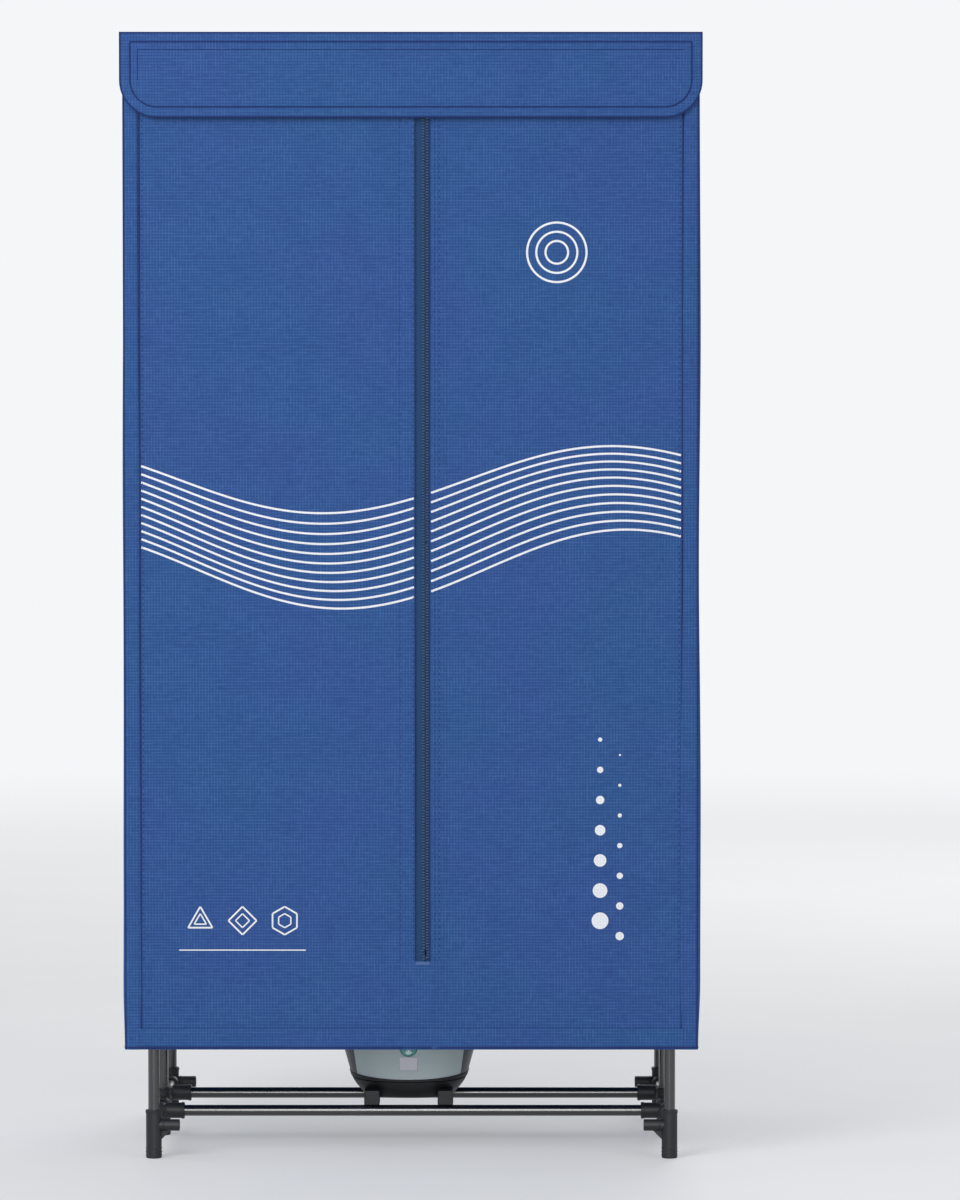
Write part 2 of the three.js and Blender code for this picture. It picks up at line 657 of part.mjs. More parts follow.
function addHeaterCase() {
  const floor = HEATER_BOTTOM + HEATER_WALL;
  const baseTop = HEATER_SPLIT - JOINT_GAP;
  const inner = heaterLoft(heights(floor, baseTop + OVERRUN, BASE_STEPS), HEATER_WALL);
  const railTop = RAIL_Z + TUBE / 2;
  const feet = [];
  for (const sx of [-1, 1]) {
    for (const sy of [-1, 1]) {
      const x = HEATER_X + (sx * HEATER_FOOT_SPAN) / 2;
      const y = sy * RAIL_Y;
      const half = HEATER_FOOT_WIDTH / 2;
      const outer = y + sy * HEATER_FOOT_OUT;
      const inner = y - sy * HEATER_FOOT_IN;
      const low = [x - half, Math.min(outer, inner), railTop + JOINT_GAP];
      feet.push(block(low, [x + half, Math.max(outer, inner), HEATER_BOTTOM + HEATER_FOOT_RISE]));
    }
  }
  const pan = join(heaterLoft(heights(HEATER_BOTTOM, baseTop, BASE_STEPS), 0), ...feet);
  const inletHole = block(
    [HEATER_X - INLET_WIDTH / 2 - JOINT_GAP, HEATER_DEPTH / 4, INLET_Z - INLET_HEIGHT / 2 - JOINT_GAP],
    [HEATER_X + INLET_WIDTH / 2 + JOINT_GAP, HEATER_DEPTH, INLET_Z + INLET_HEIGHT / 2 + JOINT_GAP],
  );
  // Intake slots let air in under the fan.
  const slots = [];
  for (let i = -INTAKE_ROWS; i <= INTAKE_ROWS; i += 1) {
    const y = i * INTAKE_PITCH;
    if (Math.abs(y) > MOTOR / 2 + INTAKE_WIDTH / 2) {
      slots.push(block(
        [HEATER_X - INTAKE_LENGTH / 2, y - INTAKE_WIDTH / 2, HEATER_BOTTOM - OVERRUN],
        [HEATER_X + INTAKE_LENGTH / 2, y + INTAKE_WIDTH / 2, floor + OVERRUN],
      ));
    }
  }
  add('heater_base', cut(pan, inner, inletHole, ...slots), 'base');

  const domeZs = heights(HEATER_SHOULDER, HEATER_TOP, DOME_STEPS).slice(1);
  const flare = HEATER_SPLIT + HEATER_FLARE;
  const wallZs = [HEATER_SPLIT, flare, HEATER_SHOULDER, ...domeZs];
  const cavityZs = [HEATER_SPLIT - OVERRUN, flare, HEATER_SHOULDER, ...domeZs.slice(0, -1)];
  const cavity = heaterLoft([...cavityZs, HEATER_TOP - HEATER_WALL], HEATER_WALL);
  const outletFoot = [HEATER_X, 0, HEATER_TOP - 2 * HEATER_WALL];
  const outlet = bar(OUTLET + 2 * JOINT_GAP, 3 * HEATER_WALL, Z_AXIS, outletFoot, 2 * ROUND_STEPS);
  const holeFront = [HEATER_X, -HEATER_DEPTH / 2 - BUTTON_DEPTH, BUTTON_Z];
  const holeLength = BUTTON_DEPTH + HEATER_DEPTH / 4;
  const buttonHole = bar(BUTTON + 2 * BUTTON_CLEARANCE, holeLength, Y_AXIS, holeFront, BUTTON_STEPS);
  add('heater_shell', cut(heaterLoft(wallZs, 0), cavity, outlet, buttonHole), 'casing');

  const windowHalf = WINDOW_WIDTH / 2;
  const windowOutline = rectangle(HEATER_X - windowHalf, WINDOW_BOTTOM, HEATER_X + windowHalf, WINDOW_TOP);
  const windowCut = block(
    [HEATER_X - windowHalf - JOINT_GAP, -HEATER_DEPTH, WINDOW_BOTTOM - JOINT_GAP],
    [HEATER_X + windowHalf + JOINT_GAP, -HEATER_DEPTH / 4, WINDOW_TOP + JOINT_GAP],
  );
  const face = faceSkin(faceOutline(), JOINT_GAP, JOINT_GAP + FACE_THICKNESS);
  add('heater_front', cut(face, windowCut, buttonHole), 'face');
  add('display_window', faceSkin(windowOutline, JOINT_GAP, JOINT_GAP + WINDOW_THICKNESS), 'window');

  const buttonFront = -HEATER_DEPTH / 2 - JOINT_GAP - FACE_THICKNESS - BUTTON_PROUD;
  const buttonFoot = [HEATER_X, buttonFront, BUTTON_Z];
  add('power_button', bar(BUTTON, BUTTON_DEPTH, Y_AXIS, buttonFoot, BUTTON_STEPS), 'button');
  const inletBack = casingHalf(INLET_Z)[1] + INLET_PROUD;
  const inlet = block(
    [HEATER_X - INLET_WIDTH / 2, inletBack - INLET_DEPTH, INLET_Z - INLET_HEIGHT / 2],
    [HEATER_X + INLET_WIDTH / 2, inletBack, INLET_Z + INLET_HEIGHT / 2],
  );
  add('power_inlet', inlet, 'base');
}

function addOutletGrille() {
  const z0 = HEATER_TOP - HEATER_WALL;
  const rim = tube(OUTLET, OUTLET_RIM, HEATER_WALL, Z_AXIS, [HEATER_X, 0, z0]);
  const bars = [];
  // The bars end in the middle of the rim's wall.
  const reach = (OUTLET - OUTLET_RIM) / 2;
  for (let i = -OUTLET_ROWS; i <= OUTLET_ROWS; i += 1) {
    const x = i * OUTLET_PITCH;
    const half = Math.sqrt(reach * reach - x * x);
    bars.push(block(
      [HEATER_X + x - OUTLET_BAR / 2, -half, z0 + OUTLET_RECESS],
      [HEATER_X + x + OUTLET_BAR / 2, half, z0 + HEATER_WALL - OUTLET_RECESS],
    ));
  }
  const cross = block(
    [HEATER_X - reach, -OUTLET_RIM / 2, z0 + 2 * OUTLET_RECESS],
    [HEATER_X + reach, OUTLET_RIM / 2, z0 + HEATER_WALL - 2 * OUTLET_RECESS],
  );
  add('outlet_grille', join(rim, cross, ...bars), 'base');
}

function addHeaterWorks() {
  const floor = HEATER_BOTTOM + HEATER_WALL + JOINT_GAP;
  const motor = bar(MOTOR, MOTOR_HEIGHT, Z_AXIS, [HEATER_X, 0, floor], ROTOR_STEPS);
  const shaftFoot = floor + MOTOR_HEIGHT - SHAFT_BITE;
  const shaft = bar(SHAFT, SHAFT_LENGTH, Z_AXIS, [HEATER_X, 0, shaftFoot]);
  add('fan_motor', join(motor, shaft), 'steel');

  // The rotor's blind bore sits over the end of the shaft.
  const rotorTop = shaftFoot + SHAFT_LENGTH + JOINT_GAP + ROTOR_ROOF;
  const rotorFoot = rotorTop - ROTOR_HEIGHT;
  const hub = bar(ROTOR_HUB, ROTOR_HEIGHT, Z_AXIS, [0, 0, rotorFoot], ROTOR_STEPS);
  const blades = [];
  // A blade runs from inside the hub to the sweep.
  const bladeStart = ROTOR_HUB / 2 - BLADE_BITE;
  const bladeLength = ROTOR / 2 - bladeStart;
  for (let i = 0; i < ROTOR_BLADES; i += 1) {
    const blade = new THREE.BoxGeometry(bladeLength, BLADE_CHORD, BLADE_THICKNESS);
    blade.translate(bladeStart + bladeLength / 2, 0, 0);
    blade.rotateX(BLADE_PITCH);
    blade.rotateZ((2 * Math.PI * i) / ROTOR_BLADES);
    blade.translate(0, 0, rotorFoot + ROTOR_HEIGHT / 2);
    blades.push(blade);
  }
  const sweep = bar(ROTOR, ROTOR_HEIGHT, Z_AXIS, [0, 0, rotorFoot], ROTOR_STEPS);
  const bladeDisc = common(join(...blades, hub), sweep);
  const boreFoot = [0, 0, rotorFoot - OVERRUN];
  const bore = bar(SHAFT + 2 * JOINT_GAP, ROTOR_HEIGHT - ROTOR_ROOF + OVERRUN, Z_AXIS, boreFoot);
  add('fan_rotor', cut(bladeDisc, bore).translate(HEATER_X, 0, 0), 'rotor');

  // The heating element hangs between ears that reach the casing's inner wall.
  const half = ELEMENT_WIDTH / 2;
  const core = block(
    [HEATER_X - half, -ELEMENT_DEPTH / 2, ELEMENT_Z],
    [HEATER_X + half, ELEMENT_DEPTH / 2, ELEMENT_Z + ELEMENT_HEIGHT],
  );
  const wall = casingHalf(ELEMENT_Z)[0] - HEATER_WALL - ELEMENT_CLEARANCE;
  const ears = block(
    [HEATER_X - wall, -ELEMENT_EAR / 2, ELEMENT_Z],
    [HEATER_X + wall, ELEMENT_EAR / 2, ELEMENT_Z + ELEMENT_EAR_THICKNESS],
  );
  add('heating_element', join(core, ears), 'element');

  // The cut-out sits on one ear, between the element and the casing.
  const cutoutX = HEATER_X + (half + wall) / 2;
  const cutoutZ = ELEMENT_Z + ELEMENT_EAR_THICKNESS + JOINT_GAP;
  add('thermal_cutout', bar(CUTOUT, CUTOUT_HEIGHT, Z_AXIS, [cutoutX, 0, cutoutZ]), 'rotor');

  const boardY = -HEATER_DEPTH / 2 + BOARD_INSET;
  const board = block(
    [HEATER_X - BOARD_WIDTH / 2, boardY, floor],
    [HEATER_X + BOARD_WIDTH / 2, boardY + BOARD, floor + BOARD_HEIGHT],
  );
  add('control_board', board, 'board');
}

addCoverShell();
addFrontStrips();
addFloorCloth();
addDoors();
addSlider();
addFlap();
addStand();
addHeaterCase();
addOutletGrille();
addHeaterWorks();

export default cabinet;
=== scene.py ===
"""A folding drying cabinet: a blue woven cover with a zipped front over a black tube stand, and a
fan heater that stands on two rails under its floor. Every length is in metres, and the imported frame
gives each piece its place."""

from math import ceil, cos, exp, hypot, pi, radians, sin, sqrt

import bmesh
import bpy
from bpy.props import FloatProperty, FloatVectorProperty, PointerProperty
from mathutils import Matrix, Vector, noise


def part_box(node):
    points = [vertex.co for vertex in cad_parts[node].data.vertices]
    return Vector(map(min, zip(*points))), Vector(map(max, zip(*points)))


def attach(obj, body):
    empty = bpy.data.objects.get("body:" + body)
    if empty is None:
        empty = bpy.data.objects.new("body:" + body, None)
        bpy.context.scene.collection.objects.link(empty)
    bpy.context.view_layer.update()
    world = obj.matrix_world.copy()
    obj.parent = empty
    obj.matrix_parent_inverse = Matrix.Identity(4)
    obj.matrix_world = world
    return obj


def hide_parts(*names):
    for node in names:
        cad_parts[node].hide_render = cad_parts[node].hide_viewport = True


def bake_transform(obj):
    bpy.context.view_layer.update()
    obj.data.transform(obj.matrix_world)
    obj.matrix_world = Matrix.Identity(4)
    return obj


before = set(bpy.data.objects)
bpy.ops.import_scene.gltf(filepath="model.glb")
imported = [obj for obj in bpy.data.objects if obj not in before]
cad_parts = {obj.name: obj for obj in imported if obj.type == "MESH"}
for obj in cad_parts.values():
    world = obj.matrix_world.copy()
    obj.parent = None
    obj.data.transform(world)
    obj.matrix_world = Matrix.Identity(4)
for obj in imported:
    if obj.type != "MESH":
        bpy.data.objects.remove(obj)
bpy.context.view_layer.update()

bl_info = {
    "name": "Drying Cabinet",
    "version": (1, 0, 0),
    "blender": (4, 5, 0),
    "location": "3D View > Sidebar > Drying Cabinet",
    "description": "Builds a folding drying cabinet with its cover, stand and fan heater",
    "category": "Add Mesh",
}

MM = 0.001
X, Y, Z = Vector((1, 0, 0)), Vector((0, 1, 0)), Vector((0, 0, 1))
SHARP_ANGLE = 38  # degrees between faces, past which an edge of a rigid piece stays crisp
MIDDLE = Vector((0, 0, 0.85))  # a point inside the cover, which its cloth faces away from


# Places that the frame gives -----------------------------------------------------------------------


def centre_of(node_name):
    """The middle of a CAD node's box."""
    low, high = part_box(node_name)
    return (low + high) / 2


def half_of(node_name):
    """Half of a CAD node's width, depth and height."""
    low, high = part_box(node_name)
    return (high - low) / 2


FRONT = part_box("front_apron")[0].y  # outer face of the front cloth
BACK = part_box("cover_back")[1].y  # outer face of the back cloth
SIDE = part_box("cover_side_right")[1].x  # outer face of the side cloth
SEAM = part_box("cover_side_right")[0].x  # where the side cloth meets the front cloth
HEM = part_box("front_apron")[0].z
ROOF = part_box("cover_roof")[1].z
DOOR_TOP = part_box("door_left")[1].z
ZIP_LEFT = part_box("door_left")[1].x  # free edge of the left door
ZIP_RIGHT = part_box("door_right")[0].x  # free edge of the right door
ZIP_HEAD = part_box("zip_slider")[1].z
ZIP_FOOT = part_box("door_left")[0].z - 16 * MM  # the solid ends higher, to leave the slider room
ZIP_LINE = (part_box("zip_tape_left")[1].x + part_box("zip_tape_right")[0].x) / 2
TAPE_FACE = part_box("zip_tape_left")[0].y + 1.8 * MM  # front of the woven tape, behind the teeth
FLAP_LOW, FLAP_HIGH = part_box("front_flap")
SPLIT = 0.88  # height at which a door's lower and upper halves meet, where it opens widest

HEATER_X = centre_of("fan_motor").x
HEATER_FOOT = 66 * MM  # floor of the heater's base
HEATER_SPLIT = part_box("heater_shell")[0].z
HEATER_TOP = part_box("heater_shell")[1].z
HEATER_HALF_X = half_of("heater_shell").x
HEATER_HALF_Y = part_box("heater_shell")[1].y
MIDDLE_OF_HEATER = Vector((HEATER_X, 0, 0.15))  # the point that its casing faces away from


def linear(code):
    """The linear colour, with alpha, of an sRGB hex code."""
    channels = [int(code[i : i + 2], 16) / 255 for i in (1, 3, 5)]
    return tuple(c / 12.92 if c <= 0.04045 else ((c + 0.055) / 1.055) ** 2.4 for c in channels) + (1,)


def colour(name, description, code):
    """A colour property with an sRGB default."""
    values = {"subtype": "COLOR", "size": 4, "min": 0, "max": 1, "default": linear(code)}
    return FloatVectorProperty(name=name, description=description, **values)


def length(name, description, millimetres):
    """A length property with its default in millimetres."""
    values = {"subtype": "DISTANCE", "unit": "LENGTH", "min": 0, "default": millimetres * MM}
    return FloatProperty(name=name, description=description, **values)


# What a user would change --------------------------------------------------------------------------


class CoverSettings(bpy.types.PropertyGroup):
    cloth: colour("Cloth", "Middle colour of the woven cover", "#315a9a")
    violet: colour("Violet Patches", "Cloth where the dye is redder", "#38559c")
    teal: colour("Teal Patches", "Cloth where the dye is greener", "#2b6095")
    # Thread Shade is painted shade between the threads and Thread Glint a painted highlight on their crowns.
    shade: colour("Thread Shade", "Cloth between its threads", "#264a88")
    glint: colour("Thread Glint", "Crowns of the thicker threads", "#446dab")
    binding: colour("Binding", "Tape that binds the cloth's edges", "#1f3a78")
    tape: colour("Zip Tape", "Woven tape of the zip", "#22446f")
    teeth: colour("Zip Teeth", "Nylon coil of the zip", "#284a77")
    thread: colour("Sewing Thread", "Thread of the seams", "#16285a")
    ink: colour("Print", "Printed lines on the doors", "#f2f5fb")
    gauge: length("Cloth Gauge", "Thickness of the cloth", 0.8)
    pitch: length("Thread Pitch", "Spacing at which the weave is drawn", 4.2)
    rise: length("Seam Rise", "How far a border stands over the cloth it is sewn to", 3.0)
    wave: length("Waviness", "Depth of the slack in the hanging cloth", 1.6)
    piping: length("Piping", "Thickness of the corded edge", 2.6)
    stitch: length("Stitch", "Length of one stitch", 4.6)
    gap: length("Stitch Pitch", "Spacing of the stitches", 9.0)


class StandSettings(bpy.types.PropertyGroup):
    enamel: colour("Enamel", "Powder coat on the steel tubes", "#0e0f10")
    socket: colour("Sockets", "Moulded sockets and feet", "#202124")
    lip: length("Socket Lip", "Height of the rolled lip on a socket", 4.0)
    fillet: length("Fillet", "Rounding on the mouldings' edges", 1.2)


class HeaterSettings(bpy.types.PropertyGroup):
    casing: colour("Casing", "Moulded upper casing", "#565d60")
    base: colour("Base", "Moulded lower casing", "#1b1d1f")
    # Face and Face Foot paint shade towards the plate's top and light towards its foot.
    face: colour("Face", "Front plate, at its top", "#a4b8b2")
    face_foot_painted_light: colour("Face Foot", "Front plate, at its foot", "#cfdcda")
    button: colour("Button", "Power button", "#2f9d97")
    window: colour("Window", "Milky lens over the display", "#f3eef1")
    wall: length("Wall", "Thickness of the casing", 2.0)


class StageSettings(bpy.types.PropertyGroup):
    floor: colour("Floor", "Studio floor", "#f4f5f6")
    sky: colour("Backdrop", "What the camera sees behind the object", "#f4f6f8")
    focal: FloatProperty(name="Focal Length", description="Camera lens, in millimetres", default=167.07)
    key: FloatProperty(name="Key", description="Power of the key light, in watts", unit="POWER", default=87)
    fill: FloatProperty(name="Fill", description="Strength of the even light all round", default=0.32)


NAMES = ("cover", "stand", "heater", "stage")
GROUPS = dict(zip(NAMES, (CoverSettings, StandSettings, HeaterSettings, StageSettings)))


def settings(group):
    """The property group of that name on the current scene."""
    return getattr(bpy.context.scene, "dryer_" + group)


# Mesh helpers --------------------------------------------------------------------------------------


def spread(start, end, step):
    """Even steps of about the given size from start to end, both included."""
    count = max(1, ceil(abs(end - start) / step - 1e-6))
    return [start + (end - start) * i / count for i in range(count + 1)]


def join_runs(*runs):
    """One list of distances from runs that share their ends."""
    joined = list(runs[0])
    for run in runs[1:]:
        joined += run[1:]
    return joined


def bump(distance, width):
    """A soft ridge of height 1 at distance 0."""
    return exp(-((distance / width) ** 2))


def ease(t):
    """A smooth step from 0 to 1."""
    t = min(max(t, 0), 1)
    return t * t * (3 - 2 * t)


def lay_uv(bm, across, up):
    """Gives each corner a UV in metres, read off two axes of its place at rest."""
    layer = bm.loops.layers.uv.verify()
    for face in bm.faces:
        for loop in face.loops:
            loop[layer].uv = (loop.vert.co[across], loop.vert.co[up])


def cloth_grid(columns, rows, place, pattern):
    """A sheet of quads. place gives each crossing's point, and pattern its place on the cloth, in metres."""
    bm = bmesh.new()
    last_column = len(columns) - 1
    last_row = len(rows) - 1
    bmesh.ops.create_grid(bm, x_segments=last_column, y_segments=last_row, size=1)
    layer = bm.loops.layers.uv.verify()
    marks = {}
    for vert in bm.verts:
        column = columns[round((vert.co.x + 1) / 2 * last_column)]
        row = rows[round((vert.co.y + 1) / 2 * last_row)]
        vert.co = place(column, row)
        marks[vert] = pattern(column, row)
    for face in bm.faces:
        for loop in face.loops:
            loop[layer].uv = marks[loop.vert]
    return bm


def along(points, up=Z, closed=False):
    """A matrix at each point of a path, with Z along the path and Y as near to up as it can be."""
    stations = []
    count = len(points)
    for i, point in enumerate(points):
        before = points[i - 1] if i or closed else point
        after = points[(i + 1) % count] if i + 1 < count or closed else point
        ahead = (after - before).normalized()
        side = up.cross(ahead)
        side = side.normalized() if side.length > 1e-6 else ahead.orthogonal().normalized()
        turn = Matrix((side, ahead.cross(side), ahead)).transposed().to_4x4()
        stations.append(Matrix.Translation(point) @ turn)
    return stations


def rod(bm, points, radius, segments, up, closed=False, flat=1.0):
    """A round rod along a path, or an oval one where flat scales its side along up."""
    stations = along(points, up, closed)
    if closed:
        stations.append(stations[0])
    last = len(stations) - 1
    made = bmesh.ops.create_grid(bm, x_segments=segments, y_segments=last, size=1)["verts"]
    for vert in made:
        turn = (vert.co.x + 1) * pi
        station = stations[round((vert.co.y + 1) / 2 * last)]
        vert.co = station @ Vector((radius * cos(turn), radius * flat * sin(turn), 0))
    bmesh.ops.remove_doubles(bm, verts=made, dist=1e-6)
    if not closed:
        ends = {edge for vert in made if vert.is_valid for edge in vert.link_edges if edge.is_boundary}
        bmesh.ops.holes_fill(bm, edges=list(ends), sides=segments)


def lathe(bm, outline, matrix, segments=40):
    """Turns an outline of (radius, height) pairs about Z. Ends that lie on the axis close the shape."""
    old = set(bm.verts)
    verts = [bm.verts.new((radius, 0, height)) for radius, height in outline]
    geometry = verts + [bm.edges.new(pair) for pair in zip(verts, verts[1:])]
    bmesh.ops.spin(
        bm, geom=geometry, cent=(0, 0, 0), axis=Z, angle=2 * pi, steps=segments, use_merge=True
    )
    bmesh.ops.remove_doubles(bm, verts=[vert for vert in bm.verts if vert not in old], dist=1e-6)
    bmesh.ops.transform(bm, matrix=matrix, verts=[vert for vert in bm.verts if vert not in old])


def pointing(place, direction):
    """A matrix that puts Z along a direction, from a place."""
    return Matrix.Translation(place) @ Z.rotation_difference(direction).to_matrix().to_4x4()


def hoop(bm, place, direction, radius, thickness, count=32):
    """A round rod bent into a circle about a direction."""
    turn = pointing(place, direction)
    points = [turn @ Vector((radius * cos(a), radius * sin(a), 0)) for a in turns(count)]
    rod(bm, points, thickness / 2, 8, direction, True)


def turns(count):
    """Even angles round a circle."""
    return [2 * pi * i / count for i in range(count)]


def stamp_balls(bm, around, up, places):
    """Puts a ball with few faces at each of the places, which are matrices."""
    shape = bmesh.new()
    bmesh.ops.create_uvsphere(shape, u_segments=around, v_segments=up, radius=1)
    ball = bpy.data.meshes.new("ball")
    shape.to_mesh(ball)
    shape.free()
    for place in places:
        copy = ball.copy()
        copy.transform(place)
        bm.from_mesh(copy)
        bpy.data.meshes.remove(copy)
    bpy.data.meshes.remove(ball)


def block(bm, low, high, fillet, segments=2):
    """A box between two corners, with its edges rounded."""
    low, high = Vector(low), Vector(high)
    matrix = Matrix.Translation((low + high) / 2) @ Matrix.Diagonal((*(high - low), 1))
    verts = bmesh.ops.create_cube(bm, size=1, matrix=matrix)["verts"]
    edges = list({edge for vert in verts for edge in vert.link_edges})
    bmesh.ops.bevel(
        bm, geom=edges, offset=fillet, segments=segments, profile=0.5, affect="EDGES", material=-1
    )


def face_away(bm, centre):
    """Turns a sheet's faces so that they look away from a point."""
    if sum(face.normal.dot(face.calc_center_median() - centre) * face.calc_area() for face in bm.faces) < 0:
        bmesh.ops.reverse_faces(bm, faces=bm.faces)


def add_piece(name, bm, paint, slot, body=None, nodes=(), wall=0.0, inside=None):
    """An object of the mesh, which stands for CAD nodes and rides on a body where they are named. A sheet
    gets its wall behind its drawn face, which looks away from inside."""
    bm.normal_update()
    if inside is None:
        bmesh.ops.recalc_face_normals(bm, faces=bm.faces)
    else:
        face_away(bm, inside)
    for edge in bm.edges:
        edge.smooth = not edge.is_boundary
    mesh = bpy.data.meshes.new(name)
    bm.to_mesh(mesh)
    bm.free()
    mesh.materials.append(material(paint))
    piece = bpy.data.objects.new(name, mesh)
    bpy.context.scene.collection.objects.link(piece)
    if inside is not None:
        mesh.shade_smooth()
    else:
        mesh.set_sharp_from_angle(angle=radians(SHARP_ANGLE))
    if wall:
        thickness = piece.modifiers.new("Wall", "SOLIDIFY")
        thickness.thickness = wall
        thickness.offset = -1
    if inside is None:
        even = piece.modifiers.new("Even Shading", "WEIGHTED_NORMAL")
        even.keep_sharp = True
    if nodes:
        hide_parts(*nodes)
    if body:
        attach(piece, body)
    return piece
# Materials -----------------------------------------------------------------------------------------

WAVE_TURN = 2 * pi / 20  # a wave texture's period, in units of its scaled coordinate
MIX_FACTOR, MIX_A, MIX_B, MIX_COLOUR = 0, 6, 7, 2  # sockets of a colour mix
SLUB = 26 * MM  # length of a thicker stretch of thread
DYE_PATCH = 220 * MM  # size of a patch of one dye


def node(tree, kind, inputs=None, output=None, **options):
    """Adds a node with its options, and fills its inputs with values or other nodes' sockets."""
    made = tree.nodes.new(kind)
    for name, value in options.items():
        setattr(made, name, value)
    link(tree, made.inputs, inputs or {})
    return made if output is None else made.outputs[output]


def link(tree, inputs, sockets):
    """Fills inputs with values or other nodes' sockets."""
    for name, value in sockets.items():
        if isinstance(value, bpy.types.NodeSocket):
            tree.links.new(value, inputs[name])
        else:
            inputs[name].default_value = value


def material(paint):
    """The material that a paint function makes, named for it, painted the first time it is asked for."""
    name = paint.__name__
    made = bpy.data.materials.get(name)
    if made is None:
        made = bpy.data.materials.new(name)
        made.use_nodes = True
        made.node_tree.nodes.clear()
        shader = node(made.node_tree, "ShaderNodeBsdfPrincipled")
        node(made.node_tree, "ShaderNodeOutputMaterial", {"Surface": shader.outputs["BSDF"]})
        paint(made.node_tree, shader.inputs)
    return made


def finish(tree, shader, factor, tones, sockets, relief=None):
    """Ends a paint: the colour runs between two tones by a factor, and the surface follows a relief, given as
    its height, its strength and its depth in millimetres."""
    inputs = {MIX_FACTOR: factor, MIX_A: tones[0], MIX_B: tones[1]}
    sockets["Base Color"] = node(tree, "ShaderNodeMix", inputs, MIX_COLOUR, data_type="RGBA")
    if relief:
        height, strength, depth = relief
        inputs = {"Height": height, "Strength": strength, "Distance": depth * MM}
        sockets["Normal"] = node(tree, "ShaderNodeBump", inputs, "Normal")
    link(tree, shader, sockets)


def threads(tree, where, pitch, slub):
    """Height of a plain weave, 0 to 1: two crossing sets of threads that swell along slubs of that length."""
    sets = []
    for axis, direction in enumerate("XY"):
        inputs = {"Vector": where, "Scale": WAVE_TURN / pitch, "Distortion": 0.7, "Detail Scale": 0.4}
        wave = node(tree, "ShaderNodeTexWave", inputs, "Fac", bands_direction=direction)
        # The upright threads, which axis 0 bands, are thinner and have shorter slubs.
        stretch = [1 / (1.2 * pitch), 1 / (1.2 * pitch), 1]
        stretch[1 - axis] = 1 / (slub * (0.5, 0.7)[axis])
        inputs = {"Vector": where, "Location": (9 * axis, 0, 0), "Scale": stretch}
        place = node(tree, "ShaderNodeMapping", inputs, 0)
        swell = node(tree, "ShaderNodeTexNoise", {"Vector": place, "Scale": 1, "Detail": 2}, "Fac")
        sets.append(node(tree, "ShaderNodeMath", {0: wave, 1: swell}, 0, operation="MULTIPLY"))
    # In some places the upright threads show as much as the level ones, and in others hardly.
    place = node(tree, "ShaderNodeMapping", {"Vector": where, "Location": (5, 5, 0)}, 0)
    patch = node(tree, "ShaderNodeTexNoise", {"Vector": place, "Scale": 0.5 / slub, "Detail": 1}, "Fac")
    inputs = {"Value": patch, "From Min": 0.4, "From Max": 0.6, "To Min": 0.8, "To Max": 1.08}
    share = node(tree, "ShaderNodeMapRange", inputs, "Result")
    upright = node(tree, "ShaderNodeMath", {0: sets[0], 1: share}, 0, operation="MULTIPLY")
    return node(tree, "ShaderNodeMath", {0: upright, 1: sets[1]}, 0, operation="MAXIMUM")


def grain(tree, size, detail=3, space="Object"):
    """Noise on the piece's own place, or its UV, with lumps of about the given size."""
    where = node(tree, "ShaderNodeTexCoord", output=space)
    return node(tree, "ShaderNodeTexNoise", {"Vector": where, "Scale": 1 / size, "Detail": detail}, "Fac")


def woven_polyester(tree, shader):
    """Plain-woven polyester, piece dyed and coated inside: matt, with thick and thin threads and a dye that
    drifts between violet and teal. Shade is painted between the threads and a highlight on the thicker
    crowns."""
    look = settings("cover")
    where = node(tree, "ShaderNodeTexCoord", output="UV")
    # Real threads lie 0.4 mm apart. They are drawn at the thread pitch, so that they show from a step away.
    height = threads(tree, where, look.pitch, SLUB)
    inputs = {"Value": grain(tree, DYE_PATCH, 2, "UV"), "From Min": 0.36, "From Max": 0.64}
    patch = node(tree, "ShaderNodeMapRange", inputs, "Result")
    # Shade is painted in the valleys between the threads, and fades out towards their crowns.
    inputs = {"Value": height, "From Min": 0.12, "From Max": 0.42}
    clear_of_painted_shade = node(tree, "ShaderNodeMapRange", inputs, "Result")
    # The crowns of the thicker threads get a painted highlight in the glint colour.
    inputs = {"Value": height, "From Min": 0.4, "From Max": 0.66, "To Max": 0.55}
    slub = node(tree, "ShaderNodeMapRange", inputs, "Result")
    tint = look.violet
    for factor, tone in ((patch, look.teal), (0.5, look.cloth)):
        inputs = {MIX_FACTOR: factor, MIX_A: tint, MIX_B: tone}
        tint = node(tree, "ShaderNodeMix", inputs, MIX_COLOUR, data_type="RGBA")
    inputs = {MIX_FACTOR: clear_of_painted_shade, MIX_A: look.shade, MIX_B: tint}
    woven = node(tree, "ShaderNodeMix", inputs, MIX_COLOUR, data_type="RGBA")
    matt = {"Roughness": 0.82, "Specular IOR Level": 0.2, "Sheen Weight": 0.08}
    finish(tree, shader, slub, (woven, look.glint), matt, (height, 0.6, 0.35))


def grosgrain_binding(tree, shader):
    """Ribbed polyester tape folded over an edge: a fine rib across it, with shade painted in the rib's
    valleys.
    """
    look = settings("cover")
    rib = threads(tree, node(tree, "ShaderNodeTexCoord", output="UV"), 2.2 * MM, 12 * MM)
    # The rib's valleys get painted shade in the sewing thread's colour, more in some patches than others.
    depth = node(tree, "ShaderNodeMath", {0: rib, 1: grain(tree, 18 * MM)}, 0, operation="MULTIPLY")
    inputs = {MIX_FACTOR: depth, MIX_A: look.thread, MIX_B: look.binding}
    dyed = node(tree, "ShaderNodeMix", inputs, MIX_COLOUR, data_type="RGBA")
    matt = {"Roughness": 0.75, "Specular IOR Level": 0.2}
    finish(tree, shader, 0.55, (dyed, look.binding), matt, (rib, 0.5, 0.3))


